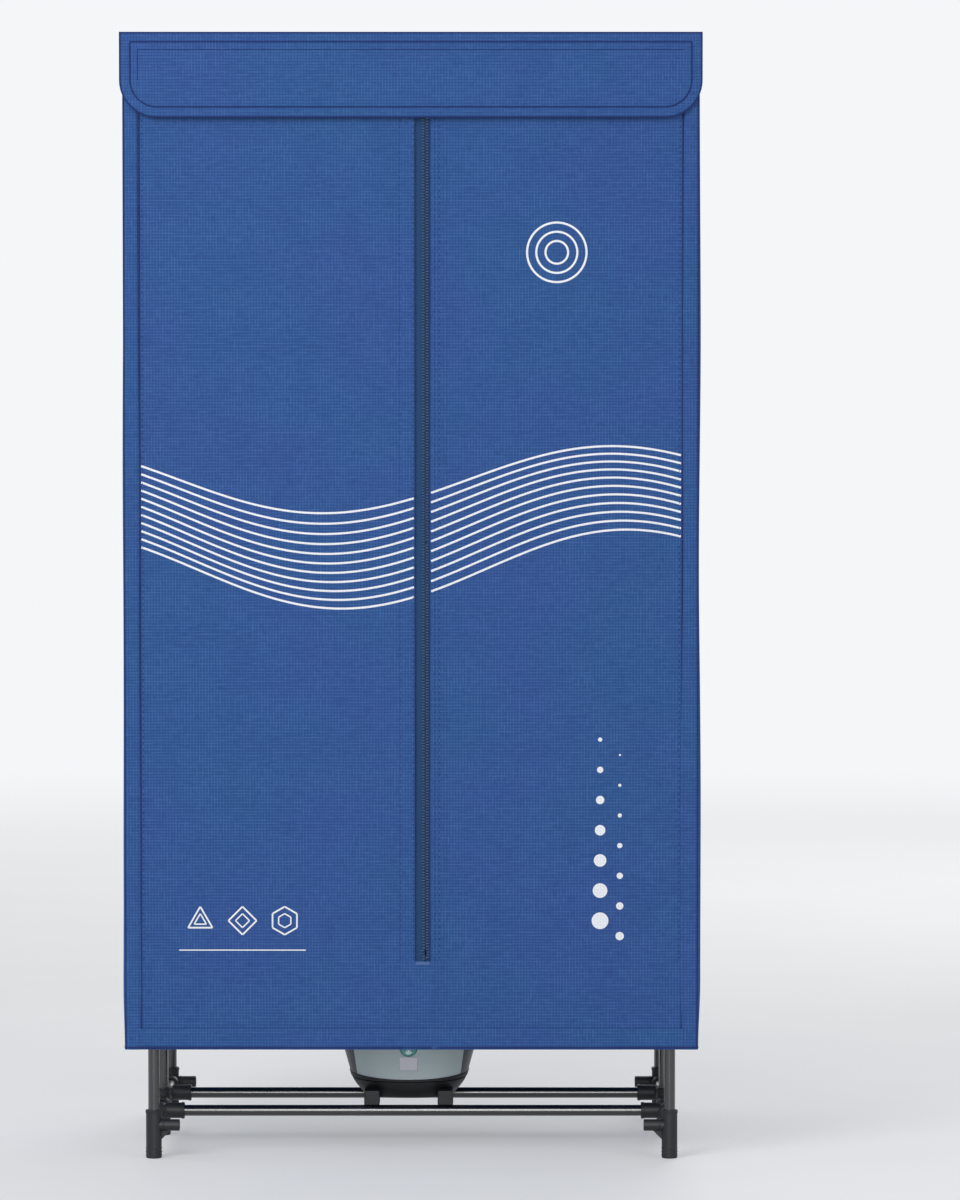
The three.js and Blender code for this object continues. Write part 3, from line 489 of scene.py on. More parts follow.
def twill_zip_tape(tree, shader):
    """Woven twill tape, dyed a greyer navy: a diagonal rib with a slight sheen."""
    # The rib is 0.8 mm on the real tape, and is drawn at 2.4 mm so that it shows.
    where = node(tree, "ShaderNodeTexCoord", output="UV")
    inputs = {"Vector": where, "Scale": WAVE_TURN / (2.4 * MM), "Distortion": 0.5}
    rib = node(tree, "ShaderNodeTexWave", inputs, "Fac", bands_direction="DIAGONAL")
    tone = grain(tree, 40 * MM, 3, "UV")
    depth = node(tree, "ShaderNodeMath", {0: rib, 1: tone}, 0, operation="MULTIPLY")
    matt = {"Roughness": 0.75, "Specular IOR Level": 0.12}
    finish(tree, shader, depth, (settings("cover").tape, linear("#2a5279")), matt, (rib, 0.4, 0.25))


def nylon_coil(tree, shader):
    """Nylon monofilament, heat set into teeth: satin, a little paler where the slider has rubbed it."""
    look = settings("cover")
    satin = {"Roughness": 0.46, "Specular IOR Level": 0.3}
    finish(tree, shader, grain(tree, 9 * MM), (look.tape, look.teeth), satin)


def spun_thread(tree, shader):
    """Spun polyester sewing thread: matt and dark, with a faint twist."""
    look = settings("cover")
    twist = grain(tree, 1.5 * MM, 1, "UV")
    matt = {"Roughness": 0.82, "Specular IOR Level": 0.2}
    finish(tree, shader, twist, (look.thread, look.shade), matt, (twist, 0.3, 0.1))


def screen_ink(tree, shader):
    """White screen ink on cloth: opaque, with the weave pressed through it and blue showing in the pits."""
    look = settings("cover")
    height = threads(tree, node(tree, "ShaderNodeTexCoord", output="UV"), look.pitch, SLUB)
    inputs = {"Value": height, "From Min": 0.0, "From Max": 0.2, "To Min": 0.72}
    cover = node(tree, "ShaderNodeMapRange", inputs, "Result")
    finish(tree, shader, cover, (look.glint, look.ink), {"Roughness": 0.6}, (height, 0.4, 0.2))


def dense_tack(tree, shader):
    """Polyester thread sewn to and fro into a bar tack: a close cord with a slight shine, with
    shade painted between its threads and a highlight painted on their crowns.
    """
    look = settings("cover")
    # Threads of 0.4 mm are drawn at 1.2 mm, so that they show.
    cord = threads(tree, node(tree, "ShaderNodeTexCoord", output="UV"), 1.2 * MM, 9 * MM)
    # The cord's colour runs from painted shade to a painted highlight with its height.
    finish(tree, shader, cord, (look.shade, look.glint), {"Roughness": 0.55}, (cord, 0.5, 0.3))


def streaks(tree, across):
    """Noise drawn out along a piece: its lumps are as long as the sizes across X, Y and Z."""
    where = node(tree, "ShaderNodeTexCoord", output="Object")
    inputs = {"Vector": where, "Scale": [1 / (size * MM) for size in across]}
    place = node(tree, "ShaderNodeMapping", inputs, 0)
    return node(tree, "ShaderNodeTexNoise", {"Vector": place, "Scale": 1, "Detail": 4}, "Fac")


def cast_zinc(tree, shader):
    """Die-cast zinc, tumbled and nickel plated: bright, with fine scratches and dull hollows."""
    scratch = streaks(tree, (1, 1, 14))
    inputs = {"Value": scratch, "To Min": 0.22, "To Max": 0.48}
    metal = {"Metallic": 1.0, "Roughness": node(tree, "ShaderNodeMapRange", inputs, "Result")}
    finish(tree, shader, scratch, (linear("#8f9296"), linear("#c2c4c6")), metal, (scratch, 0.15, 0.05))


def powder_coat(tree, shader):
    """Black polyester powder, baked on steel tube: satin, with orange peel, worn grey at rubbed spots."""
    peel = grain(tree, 2.2 * MM, 2)
    rub = grain(tree, 60 * MM, 6)
    worn = node(tree, "ShaderNodeMapRange", {"Value": rub, "From Min": 0.62, "From Max": 0.74}, "Result")
    gloss = node(tree, "ShaderNodeMapRange", {"Value": rub, "To Min": 0.2, "To Max": 0.32}, "Result")
    skin = {"Roughness": gloss, "Specular IOR Level": 0.7, "Coat Weight": 0.7, "Coat Roughness": 0.2}
    finish(tree, shader, worn, (settings("stand").enamel, linear("#26282c")), skin, (peel, 0.08, 0.12))


def moulded(tree, shader, tint, shade, grit, gloss):
    """Injection-moulded plastic from a spark-eroded mould: an even matt grit, with faint flow marks."""
    texture = grain(tree, grit, 2)
    flow = grain(tree, 45 * MM, 4)
    inputs = {"Value": flow, "To Min": gloss - 0.06, "To Max": gloss + 0.08}
    matt = {"Roughness": node(tree, "ShaderNodeMapRange", inputs, "Result"), "Specular IOR Level": 0.3}
    finish(tree, shader, flow, (shade, tint), matt, (texture, 0.16, 0.1))


def moulded_nylon(tree, shader):
    """Glass-filled nylon sockets: charcoal, matt and slightly mottled."""
    moulded(tree, shader, settings("stand").socket, linear("#2a2b2e"), 1.4 * MM, 0.48)


def moulded_casing(tree, shader):
    """Grey ABS of the upper casing: a soft satin with a fine grit."""
    moulded(tree, shader, settings("heater").casing, linear("#4b5255"), 1.2 * MM, 0.42)


def moulded_base(tree, shader):
    """Charcoal ABS of the lower casing, which also stands the heat of the fan housing: matt."""
    moulded(tree, shader, settings("heater").base, linear("#1d1f21"), 1.4 * MM, 0.5)


def moulded_rotor(tree, shader):
    """Black glass-filled nylon of the fan: matt, with grey dust along its blades."""
    moulded(tree, shader, linear("#2c2d30"), linear("#3f4144"), 1.6 * MM, 0.55)


def satin_face(tree, shader):
    """ABS front plate with a sprayed satin coat, grey-green: it is painted paler towards its foot as painted
    light, and darker towards its top as painted shade.
    """
    look = settings("heater")
    where = node(tree, "ShaderNodeTexCoord", output="Object")
    height = node(tree, "ShaderNodeSeparateXYZ", {"Vector": where}, "Z")
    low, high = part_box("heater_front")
    # The plate's colour is painted paler towards its foot as painted light, and darker towards its top as
    # painted shade.
    inputs = {"Value": height, "From Min": low.z, "From Max": high.z}
    rise = node(tree, "ShaderNodeMapRange", inputs, "Result")
    flake = grain(tree, 1.0 * MM, 2)
    fleck = node(tree, "ShaderNodeMapRange", {"Value": flake, "To Min": 0.26, "To Max": 0.42}, "Result")
    satin = {"Roughness": fleck, "Coat Weight": 0.25}
    finish(tree, shader, rise, (look.face_foot_painted_light, look.face), satin, (flake, 0.08, 0.05))


def polished_button(tree, shader):
    """Teal ABS button, polished mould: glossy, with hairline scratches from fingertips."""
    rub = grain(tree, 3 * MM, 5)
    gloss = node(tree, "ShaderNodeMapRange", {"Value": rub, "To Min": 0.14, "To Max": 0.34}, "Result")
    skin = {"Roughness": gloss, "IOR": 1.49, "Coat Weight": 0.3}
    finish(tree, shader, rub, (linear("#2a8f8c"), settings("heater").button), skin)


def milky_acrylic(tree, shader):
    """Cast opal acrylic lens: glossy in front and cloudy inside, so it glows softly."""
    cloud = grain(tree, 7 * MM, 2)
    milk = {"Roughness": 0.1, "IOR": 1.49, "Subsurface Weight": 0.15, "Subsurface Scale": 3 * MM}
    finish(tree, shader, cloud, (linear("#e6ebed"), settings("heater").window), milk)


def rolled_aluminium(tree, shader):
    """Rolled aluminium fins of the heating element: bright bands across the roll, dulled by heat."""
    roll = streaks(tree, (12, 1, 12))
    gloss = node(tree, "ShaderNodeMapRange", {"Value": roll, "To Min": 0.28, "To Max": 0.5}, "Result")
    tones = (linear("#a8a49c"), linear("#c9cbcc"))
    metal = {"Metallic": 1.0, "Roughness": gloss}
    finish(tree, shader, grain(tree, 30 * MM), tones, metal, (roll, 0.12, 0.05))


def galvanised_steel(tree, shader):
    """Zinc-plated pressed steel of the motor can: grey spangle with a satin shine."""
    where = node(tree, "ShaderNodeTexCoord", output="Object")
    spangle = node(tree, "ShaderNodeTexVoronoi", {"Vector": where, "Scale": 1 / (5 * MM)}, "Color")
    tone = node(tree, "ShaderNodeSeparateXYZ", {"Vector": spangle}, "X")
    gloss = node(tree, "ShaderNodeMapRange", {"Value": tone, "To Min": 0.3, "To Max": 0.46}, "Result")
    tones = (linear("#8b8f93"), linear("#b4b7ba"))
    metal = {"Metallic": 1.0, "Roughness": gloss}
    finish(tree, shader, tone, tones, metal, (grain(tree, 2 * MM), 0.1, 0.05))


def fibre_board(tree, shader):
    """Glass-fibre laminate with green solder mask: copper tracks raise it slightly."""
    where = node(tree, "ShaderNodeTexCoord", output="Object")
    inputs = {"Vector": where, "Scale": 1 / (6 * MM)}
    tracks = node(tree, "ShaderNodeTexVoronoi", inputs, "Distance", distance="MANHATTAN")
    inputs = {"Value": tracks, "From Min": 0.42, "From Max": 0.5}
    raised = node(tree, "ShaderNodeMapRange", inputs, "Result")
    tones = (linear("#1f5a3a"), linear("#2f7a50"))
    finish(tree, shader, raised, tones, {"Roughness": 0.35}, (raised, 0.3, 0.05))


# The cover's shape ---------------------------------------------------------------------------------

BODY = "cabinet"
CLOTH_STEP = 7 * MM  # size of the squares that a cloth is made of
FINE_STEP = 1.3 * MM  # the same across narrow ribs
TUCK = 3 * MM  # how far a panel runs under the border that is sewn over it
CORNER = 7 * MM  # rounding of the cover's upright corners
FOLD = -30 * MM  # where the left door's folded edge starts
FOLD_SEAM = -15.6 * MM  # row of stitches along that edge
RIBS = (31 * MM, 37 * MM, 43 * MM, 49 * MM)  # ribs of the folded facing on the right door
FACING = 54 * MM  # where that facing ends
HEM_SEAM = HEM + 30 * MM
EAVES = ROOF - 6 * MM  # where the trim that runs up the cover ends
HANGING_TUBES = ("hanging_tube_front", "hanging_tube_middle", "hanging_tube_rear")
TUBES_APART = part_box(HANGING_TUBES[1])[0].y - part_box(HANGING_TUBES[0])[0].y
SAG = 3.2 * MM  # how far the roof hangs between two tubes
SEAM_CORD = 1.0 * MM  # radius of the dark cord in a sewn seam: its thread, with painted shade in its crease
PARKED = 20 * MM  # how far above the zip's foot the slider comes to rest


def slack(x, y, z, width, height):
    """Soft swells of a hanging cloth, from -1 to 1, about that wide and high."""
    return noise.noise(Vector((x / width, y / width, z / height + 3)))


def folds_left(z):
    """How much of the upright folds at the hem is left at a height."""
    return 1 - ease((z - 0.5) / 0.8)


def front_relief(x, z):
    """How far the front cloth stands out of its plane at a place on it."""
    out = settings("cover").wave * (slack(x, 0, z, 0.16, 0.34) + 0.3 * slack(x, 5, z, 0.045, 0.5))
    out += sum(0.9 * MM * bump(x - rib, 1.6 * MM) for rib in RIBS)
    out += 0.6 * MM * ease((x - FOLD_SEAM) / (4 * MM)) * (x < ZIP_LEFT + 1 * MM)
    out -= 0.7 * MM * bump(x - FOLD_SEAM, 1.5 * MM)
    pucker = 0.35 * MM * slack(0, 0, z, 1, 0.012) * bump(abs(x) - SEAM, 14 * MM)
    return out + pucker


def front_place(x, z, lift=0.0):
    """The point of the front cloth at x and z, or one that far in front of it."""
    return Vector((x, FRONT - front_relief(x, z) - lift, z))


def front_mark(x, z):
    """The place of a point of the front cloth in its weave."""
    return (x, z)


def arc(centre, radius, start, end, steps=5):
    """Stations (x, y, outward x, outward y) on an arc, with its angles in degrees."""
    angles = [radians(v) for v in spread(start, end, abs(end - start) / steps)]
    return [(centre[0] + radius * cos(a), centre[1] + radius * sin(a), cos(a), sin(a)) for a in angles]


def round_corners(corners, step):
    """Stations through corners, and along the straight runs between them."""
    stations = list(corners[0])
    for corner in corners[1:]:
        start, end = stations[-1], corner[0]
        steps = ceil(hypot(end[0] - start[0], end[1] - start[1]) / step)
        for t in (i / steps for i in range(1, steps)):
            stations.append((*(start[k] + (end[k] - start[k]) * t for k in (0, 1)), *start[2:]))
        stations += corner
    return stations


def side_path():
    """Stations with their distance along the path, round the right side from front seam to back seam."""
    rise = settings("cover").rise
    front = FRONT - rise
    corners = (
        arc((SEAM + rise, front + rise), rise, 180, 270, 3),
        arc((SIDE - CORNER, front + CORNER), CORNER, 270, 360),
        arc((SIDE - CORNER, BACK - CORNER), CORNER, 0, 90),
        arc((SEAM + rise, BACK - rise), rise, 90, 180, 3),
    )
    points = round_corners(corners, CLOTH_STEP)
    distance = 0
    stations = []
    for before, point in zip([points[0], *points], points):
        distance += hypot(point[0] - before[0], point[1] - before[1])
        stations.append((distance, *point))
    return stations


def side_swell(side, y, z, outward):
    """How far a side cloth swells out between the uprights and under the roof."""
    taut = ease((ROOF - z) / 0.12) * ease((z - HEM) / 0.1)
    swell = 1.6 * slack(side * 2, y, z, 0.15, 0.4) + 0.5 * slack(side, y * 3, z, 0.12, 0.6)
    folds = 1.4 * (1 + slack(side * 5, y, z, 0.055, 0.9)) * folds_left(z)
    return settings("cover").wave * (swell + folds) * taut * abs(outward)


def rim_round(z):
    """Points round the cover at a height, anticlockwise from above."""
    x = SIDE - 0.6 * MM - CORNER
    front, back = FRONT - settings("cover").rise + 0.6 * MM + CORNER, BACK - 0.6 * MM - CORNER
    corners = [
        arc(centre, CORNER, start, start + 90)
        for centre, start in (((x, front), 270), ((x, back), 0), ((-x, back), 90), ((-x, front), 180))
    ]
    stations = round_corners([*corners, corners[0]], 40 * MM)
    return [Vector((x, y, z)) for x, y, *_ in stations[: -len(corners[0])]]


def piped(name, points, body, closed=True, tall=1.0, up=Z, radius=None):
    """A corded binding along a path, tall times as high as it is thick."""
    bm = bmesh.new()
    rod(bm, points, radius or settings("cover").piping / 2, 10, up, closed, tall)
    lay_uv(bm, 0, 2)
    return add_piece(name, bm, grosgrain_binding, "cover_cloth", body)


def in_cloth(name, bm, *nodes):
    """A sheet of the cover's cloth, with its wall behind the face that looks out of the cabinet."""
    gauge = settings("cover").gauge
    return add_piece(name, bm, woven_polyester, "cover_cloth", BODY, nodes, gauge, MIDDLE)


def stitched(points, out):
    """A mesh of upright stitches at the points, raised towards the front, out -1, or the back, out 1."""
    turn = Matrix((Z, Z.cross(out * Y), out * Y)).transposed().to_4x4()
    size = Matrix.Diagonal((settings("cover").stitch / 2, 0.55 * MM, 0.4 * MM, 1))
    bm = bmesh.new()
    stamp_balls(bm, 6, 4, [Matrix.Translation(point) @ turn @ size for point in points])
    lay_uv(bm, 0, 2)
    return bm


def seam_marks(start, end):
    """Places of the stitches in a row."""
    pitch = settings("cover").gap
    return spread(start + pitch / 2, end - pitch / 2, pitch)


def hem_band(name, out, face):
    """The doubled band along the foot of the front, out -1, or of the back, out 1."""
    rise = settings("cover").rise
    rows = [(HEM, 0.8), (HEM + 3 * MM, 1)]
    rows += [(z, 1) for z in spread(HEM + 6 * MM, HEM_SEAM - 2 * MM, 5 * MM)]
    rows += [(HEM_SEAM - 0.8 * MM, 0.75), (HEM_SEAM, 0.1)]

    def place(x, row):
        z, share = row
        return Vector((x, face(x, z).y + out * rise * share, z))

    columns = spread(-SEAM - 1 * MM, SEAM + 1 * MM, CLOTH_STEP)
    return in_cloth(name, cloth_grid(columns, rows, place, lambda x, row: (x, row[0] + 0.5)))


# Operators for the cover ---------------------------------------------------------------------------


class MakeSides(bpy.types.Operator):
    """Make the two side cloths, with the borders that wrap round to the front and the back"""

    bl_idname = "dryer.sides"
    bl_label = "Side Cloths"

    def execute(self, context):
        path = side_path()
        rows = spread(HEM, ROOF - 2 * MM, 2 * CLOTH_STEP)
        offset = CORNER * (1 - sqrt(0.5))  # from the square corner to the rounded one, along each side
        for name, side in (("left", -1), ("right", 1)):

            def place(station, z):
                distance, x, y, out_x, out_y = station
                swell = side_swell(side, y, z, out_x)
                edge = 0.4 * MM * slack(side, distance * 40, z, 1, 0.05) * abs(out_y)
                return Vector((side * (x + swell * out_x), y + edge * out_y, z))

            bm = cloth_grid(path, rows, place, lambda station, z: (station[0] + side, z))
            cloth = in_cloth(f"side_cloth_{name}", bm, f"cover_side_{name}")
            for which, y in (("front", FRONT - settings("cover").rise + offset), ("back", BACK - offset)):
                edge = [Vector((side * (SIDE - offset), y, z)) for z in spread(HEM, EAVES, 60 * MM)]
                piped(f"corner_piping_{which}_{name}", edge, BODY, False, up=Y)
        return {"FINISHED"}


class MakeBack(bpy.types.Operator):
    """Make the back cloth and the hem band along its foot"""

    bl_idname = "dryer.back"
    bl_label = "Back Cloth"

    def execute(self, context):
        look = settings("cover")

        def place(x, z):
            swell = 1.4 * slack(x, 9, z, 0.2, 0.4) + 1.2 * slack(x, 5, z, 0.06, 0.9) * folds_left(z)
            swell *= look.wave * ease((ROOF - z) / 0.15)
            return Vector((x, BACK - look.rise + min(swell, look.rise), z))

        columns = spread(-SEAM - TUCK, SEAM + TUCK, 2 * CLOTH_STEP)
        rows = spread(HEM, ROOF - 2 * MM, 2 * CLOTH_STEP)
        bm = cloth_grid(columns, rows, place, lambda x, z: (x + 3, z))
        cloth = in_cloth("back_cloth", bm, "cover_back")
        marks = [(side * (SEAM - 6 * MM), z) for side in (-1, 1) for z in seam_marks(HEM, ROOF)]
        bm = stitched([place(x, z) + 0.3 * MM * Y for x, z in marks], 1)
        seams = add_piece("back_seam_stitches", bm, spun_thread, "cover_cloth", BODY)
        band = hem_band("hem_band_back", 1, place)
        return {"FINISHED"}


class MakeRoof(bpy.types.Operator):
    """Make the roof cloth, the piping round it and the bound hem at the foot"""

    bl_idname = "dryer.roof"
    bl_label = "Roof Cloth"

    def execute(self, context):
        front = FRONT - settings("cover").rise
        middle = (front + BACK) / 2
        half_y = (BACK - front) / 2

        def place(x, y):
            over_x = abs(x) - (SIDE - CORNER)
            over_y = abs(y - middle) - (half_y - CORNER)
            if over_x > 0 and over_y > 0:
                pull = min(1, CORNER / hypot(over_x, over_y))
                x -= (1 - pull) * over_x * (1 if x > 0 else -1)
                y -= (1 - pull) * over_y * (1 if y > middle else -1)
            inward = min(SIDE - abs(x), half_y - abs(y - middle))
            drop = CORNER - sqrt(max(0, CORNER**2 - max(0, CORNER - inward) ** 2))
            between = abs(sin(pi * y / TUBES_APART)) * ease(inward / 0.05)
            sag = SAG * between * (0.8 + 0.4 * slack(x, y, 0, 0.2, 1))
            return Vector((x, y, ROOF - min(drop, CORNER * 0.6) - sag))

        edge = [0, 1.2 * MM, 3 * MM, 6 * MM]
        grid = []
        for low, high in ((-SIDE, SIDE), (front, BACK)):
            inner = spread(low + 10 * MM, high - 10 * MM, 2 * CLOTH_STEP)
            grid.append([low + v for v in edge] + inner + [high - v for v in reversed(edge)])
        cloth = in_cloth("roof_cloth", cloth_grid(*grid, place, lambda x, y: (x, y + 3)), "cover_roof")
        piping = piped("roof_piping", rim_round(ROOF - 2.4 * MM), BODY)
        piped("hem_binding", rim_round(HEM + 3 * MM), BODY, tall=1.2)
        return {"FINISHED"}


class MakeFront(bpy.types.Operator):
    """Make the fixed front cloth above and below the zipped opening"""

    bl_idname = "dryer.front"
    bl_label = "Front Cloth"

    def execute(self, context):
        between = spread(ZIP_LEFT, ZIP_RIGHT, 6 * MM)
        columns = join_runs(door_columns("left"), between, door_columns("right"))
        bm = cloth_grid(columns, spread(HEM, ZIP_FOOT, 6 * MM), front_place, front_mark)
        low = in_cloth("apron_cloth", bm, "front_apron")
        band = hem_band("hem_band_front", -1, front_place)
        # A dark cord down each front seam stands for its thread and paints the shade in the seam's crease.
        for name, side in (("left", -1), ("right", 1)):
            heights = spread(HEM_SEAM, EAVES, 30 * MM)
            line = [front_place(side * (SEAM - SEAM_CORD), z, 0.2 * MM) for z in heights]
            piped(f"seam_thread_and_shade_{name}", line, BODY, False, up=Y, radius=SEAM_CORD)
        rows = join_runs(spread(DOOR_TOP, ZIP_HEAD, 6 * MM), spread(ZIP_HEAD, ROOF - 3 * MM, 6 * MM))
        bm = cloth_grid(columns, rows, front_place, front_mark)
        slit = []
        for face in bm.faces:
            middle = face.calc_center_median()
            if ZIP_LEFT < middle.x < ZIP_RIGHT and middle.z < ZIP_HEAD:
                slit.append(face)
        bmesh.ops.delete(bm, geom=slit, context="FACES")
        high = in_cloth("header_cloth", bm, "front_header")
        return {"FINISHED"}


def door_columns(door, wide=CLOTH_STEP):
    """Places across a door's cloth, close together over its folds and as far apart as wide elsewhere."""
    if door == "left":
        return join_runs(spread(-SEAM - TUCK, FOLD, wide), spread(FOLD, ZIP_LEFT, FINE_STEP))
    return join_runs(spread(ZIP_RIGHT, FACING, FINE_STEP), spread(FACING, SEAM + TUCK, wide))


def cut_at_widest(name, bm, door, paint, slot_name, wall=0.0, inside=None, stands_for=None):
    """One door's mesh as a lower and an upper piece, cut at the height at which the door opens widest."""
    pieces = []
    for half, far in (("lower", ZIP_FOOT + PARKED), ("upper", DOOR_TOP)):
        part = bm.copy()
        bmesh.ops.bisect_plane(
            part,
            geom=[*part.verts, *part.edges, *part.faces],
            dist=1e-5,
            plane_co=(0, 0, SPLIT),
            plane_no=Z,
            clear_inner=half == "upper",
            clear_outer=half == "lower",
        )
        if not part.faces:
            part.free()
            continue
        piece = add_piece(f"{name}_{door}_{half}", part, paint, slot_name, wall=wall, inside=inside)
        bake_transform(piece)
        pieces.append(piece)
    bm.free()
    if stands_for:
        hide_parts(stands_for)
    return pieces


class MakeDoors(bpy.types.Operator):
    """Make the two door cloths, the rows of stitches beside the zip and the prints on them"""

    bl_idname = "dryer.doors"
    bl_label = "Door Cloths"

    def execute(self, context):
        look = settings("cover")
        rows = join_runs(spread(ZIP_FOOT, SPLIT, CLOTH_STEP), spread(SPLIT, DOOR_TOP, CLOTH_STEP))
        seams = {
            "left": (FOLD_SEAM, ZIP_LEFT - 2 * MM, -SEAM + 5 * MM),
            "right": (RIBS[0] + 3 * MM, RIBS[1] + 3 * MM, SEAM - 5 * MM),
        }
        for door, places in seams.items():
            columns = door_columns(door)
            bm = cloth_grid(columns, rows, front_place, front_mark)
            weave = (woven_polyester, "cover_cloth", look.gauge, MIDDLE)
            cloths = cut_at_widest("door_cloth", bm, door, *weave, f"door_{door}")
            heights = [z for z in seam_marks(ZIP_FOOT, DOOR_TOP) if abs(z - SPLIT) > look.stitch]
            bm = stitched([front_place(x, z, 0.1 * MM) for x in places for z in heights], -1)
            sewn = cut_at_widest("door_stitches", bm, door, spun_thread, "cover_cloth")
            ink = (screen_ink, "cover_cloth", 0.0, MIDDLE)
            prints = cut_at_widest("door_print", door_print(door), door, *ink)
        return {"FINISHED"}


# What is printed on the doors ----------------------------------------------------------------------

INK_LIFT = 0.35 * MM  # the print's height over the cloth
LINE = 3 * MM  # width of a printed line
SWELL_LINES = 11
RINGS_AT = (206 * MM, 1.29)  # middle of the three rings, on the right door
DOTS_AT = ((268 * MM, 0.6, 1), (296 * MM, 0.578, 0.5))  # top of each column of dots, and its dots' scale
DOT_PITCH = 43 * MM
OUTLINES_AT = ((-300 * MM, 3), (-240 * MM, 4), (-180 * MM, 6))  # each outline's middle and its corners
OUTLINES_Z = 0.342
RULE_Z = 0.3  # height of the ruled line under the outlines


def ribbon(bm, points, width):
    """A flat printed line through points (x, z) on the front cloth."""
    last = len(points) - 1
    made = bmesh.ops.create_grid(bm, x_segments=1, y_segments=last, size=1)["verts"]
    for vert in made:
        side = 1 if vert.co.x > 0 else -1
        i = round((vert.co.y + 1) / 2 * last)
        before, after = points[max(i - 1, 0)], points[min(i + 1, last)]
        run, climb = after[0] - before[0], after[1] - before[1]
        out = side * width / 2 / hypot(run, climb)
        vert.co = front_place(points[i][0] + climb * out, points[i][1] - run * out, INK_LIFT)
    return made


def printed_ring(bm, x, z, radius, width):
    """A printed ring."""
    angles = spread(0, 2 * pi, 2 * MM / radius)
    made = ribbon(bm, [(x + radius * cos(a), z + radius * sin(a)) for a in angles], width)
    bmesh.ops.remove_doubles(bm, verts=made, dist=0.4 * MM)


def printed_dot(bm, x, z, radius):
    """A printed dot."""
    made = bmesh.ops.create_circle(bm, cap_ends=True, cap_tris=True, segments=24, radius=radius)["verts"]
    for vert in made:
        vert.co = front_place(x + vert.co.x, z - vert.co.y, INK_LIFT)


def printed_outline(bm, x, z, corners, radius, width):
    """A printed outline with that many corners, one of them at its top, drawn side by side."""
    angles = [radians(90 + 360 * i / corners) for i in range(corners + 1)]
    points = [(x + radius * cos(a), z + radius * sin(a)) for a in angles]
    for (x1, z1), (x2, z2) in zip(points, points[1:]):
        ribbon(bm, [(x1 + (x2 - x1) * t, z1 + (z2 - z1) * t) for t in spread(0, 1, 0.25)], width)


def swell_height(line, x):
    """Height of one printed line of the swell at x. The lines draw together and apart, and never cross."""
    across = (x + SEAM) / (2 * SEAM)
    middle = 0.905 + 0.055 * sin(2 * pi * (0.95 * across + 0.42))
    spacing = (8.5 + 8.5 * sin(pi * across) ** 2 + 3 * cos(2 * pi * across)) * MM
    lean = 0.16 * sin(2 * pi * across) * spacing
    place = line - (SWELL_LINES - 1) / 2
    return middle + place * spacing + lean * place**2 / SWELL_LINES


def door_print(door):
    """The prints of one door: its share of the swell, and small motifs of dots, rings and outlines."""
    bm = bmesh.new()
    if door == "left":
        low, high = -SEAM + 3 * MM, ZIP_LEFT - 1 * MM
        places = join_runs(spread(low, FOLD, 6 * MM), spread(FOLD, high, FINE_STEP))
    else:
        low, high = ZIP_RIGHT + 1 * MM, SEAM - 3 * MM
        places = join_runs(spread(low, FACING, FINE_STEP), spread(FACING, high, 6 * MM))
    for line in range(SWELL_LINES):
        ribbon(bm, [(x, swell_height(line, x)) for x in places], LINE)
    if door == "right":
        for radius in (16 * MM, 29 * MM, 42 * MM):
            printed_ring(bm, *RINGS_AT, radius, LINE)
        for i in range(7):
            for x, top, scale in DOTS_AT:
                printed_dot(bm, x, top - i * DOT_PITCH, (3 + 1.5 * i) * MM * scale)
    else:
        for x, corners in OUTLINES_AT:
            printed_outline(bm, x, OUTLINES_Z, corners, 20 * MM, 2.4 * MM)
            printed_outline(bm, x, OUTLINES_Z, corners, 10 * MM, 2.0 * MM)
        ribbon(bm, [(x, RULE_Z) for x in spread(-330 * MM, -150 * MM, 6 * MM)], 1.6 * MM)
    lay_uv(bm, 0, 2)
    return bm


# The zip -------------------------------------------------------------------------------------------

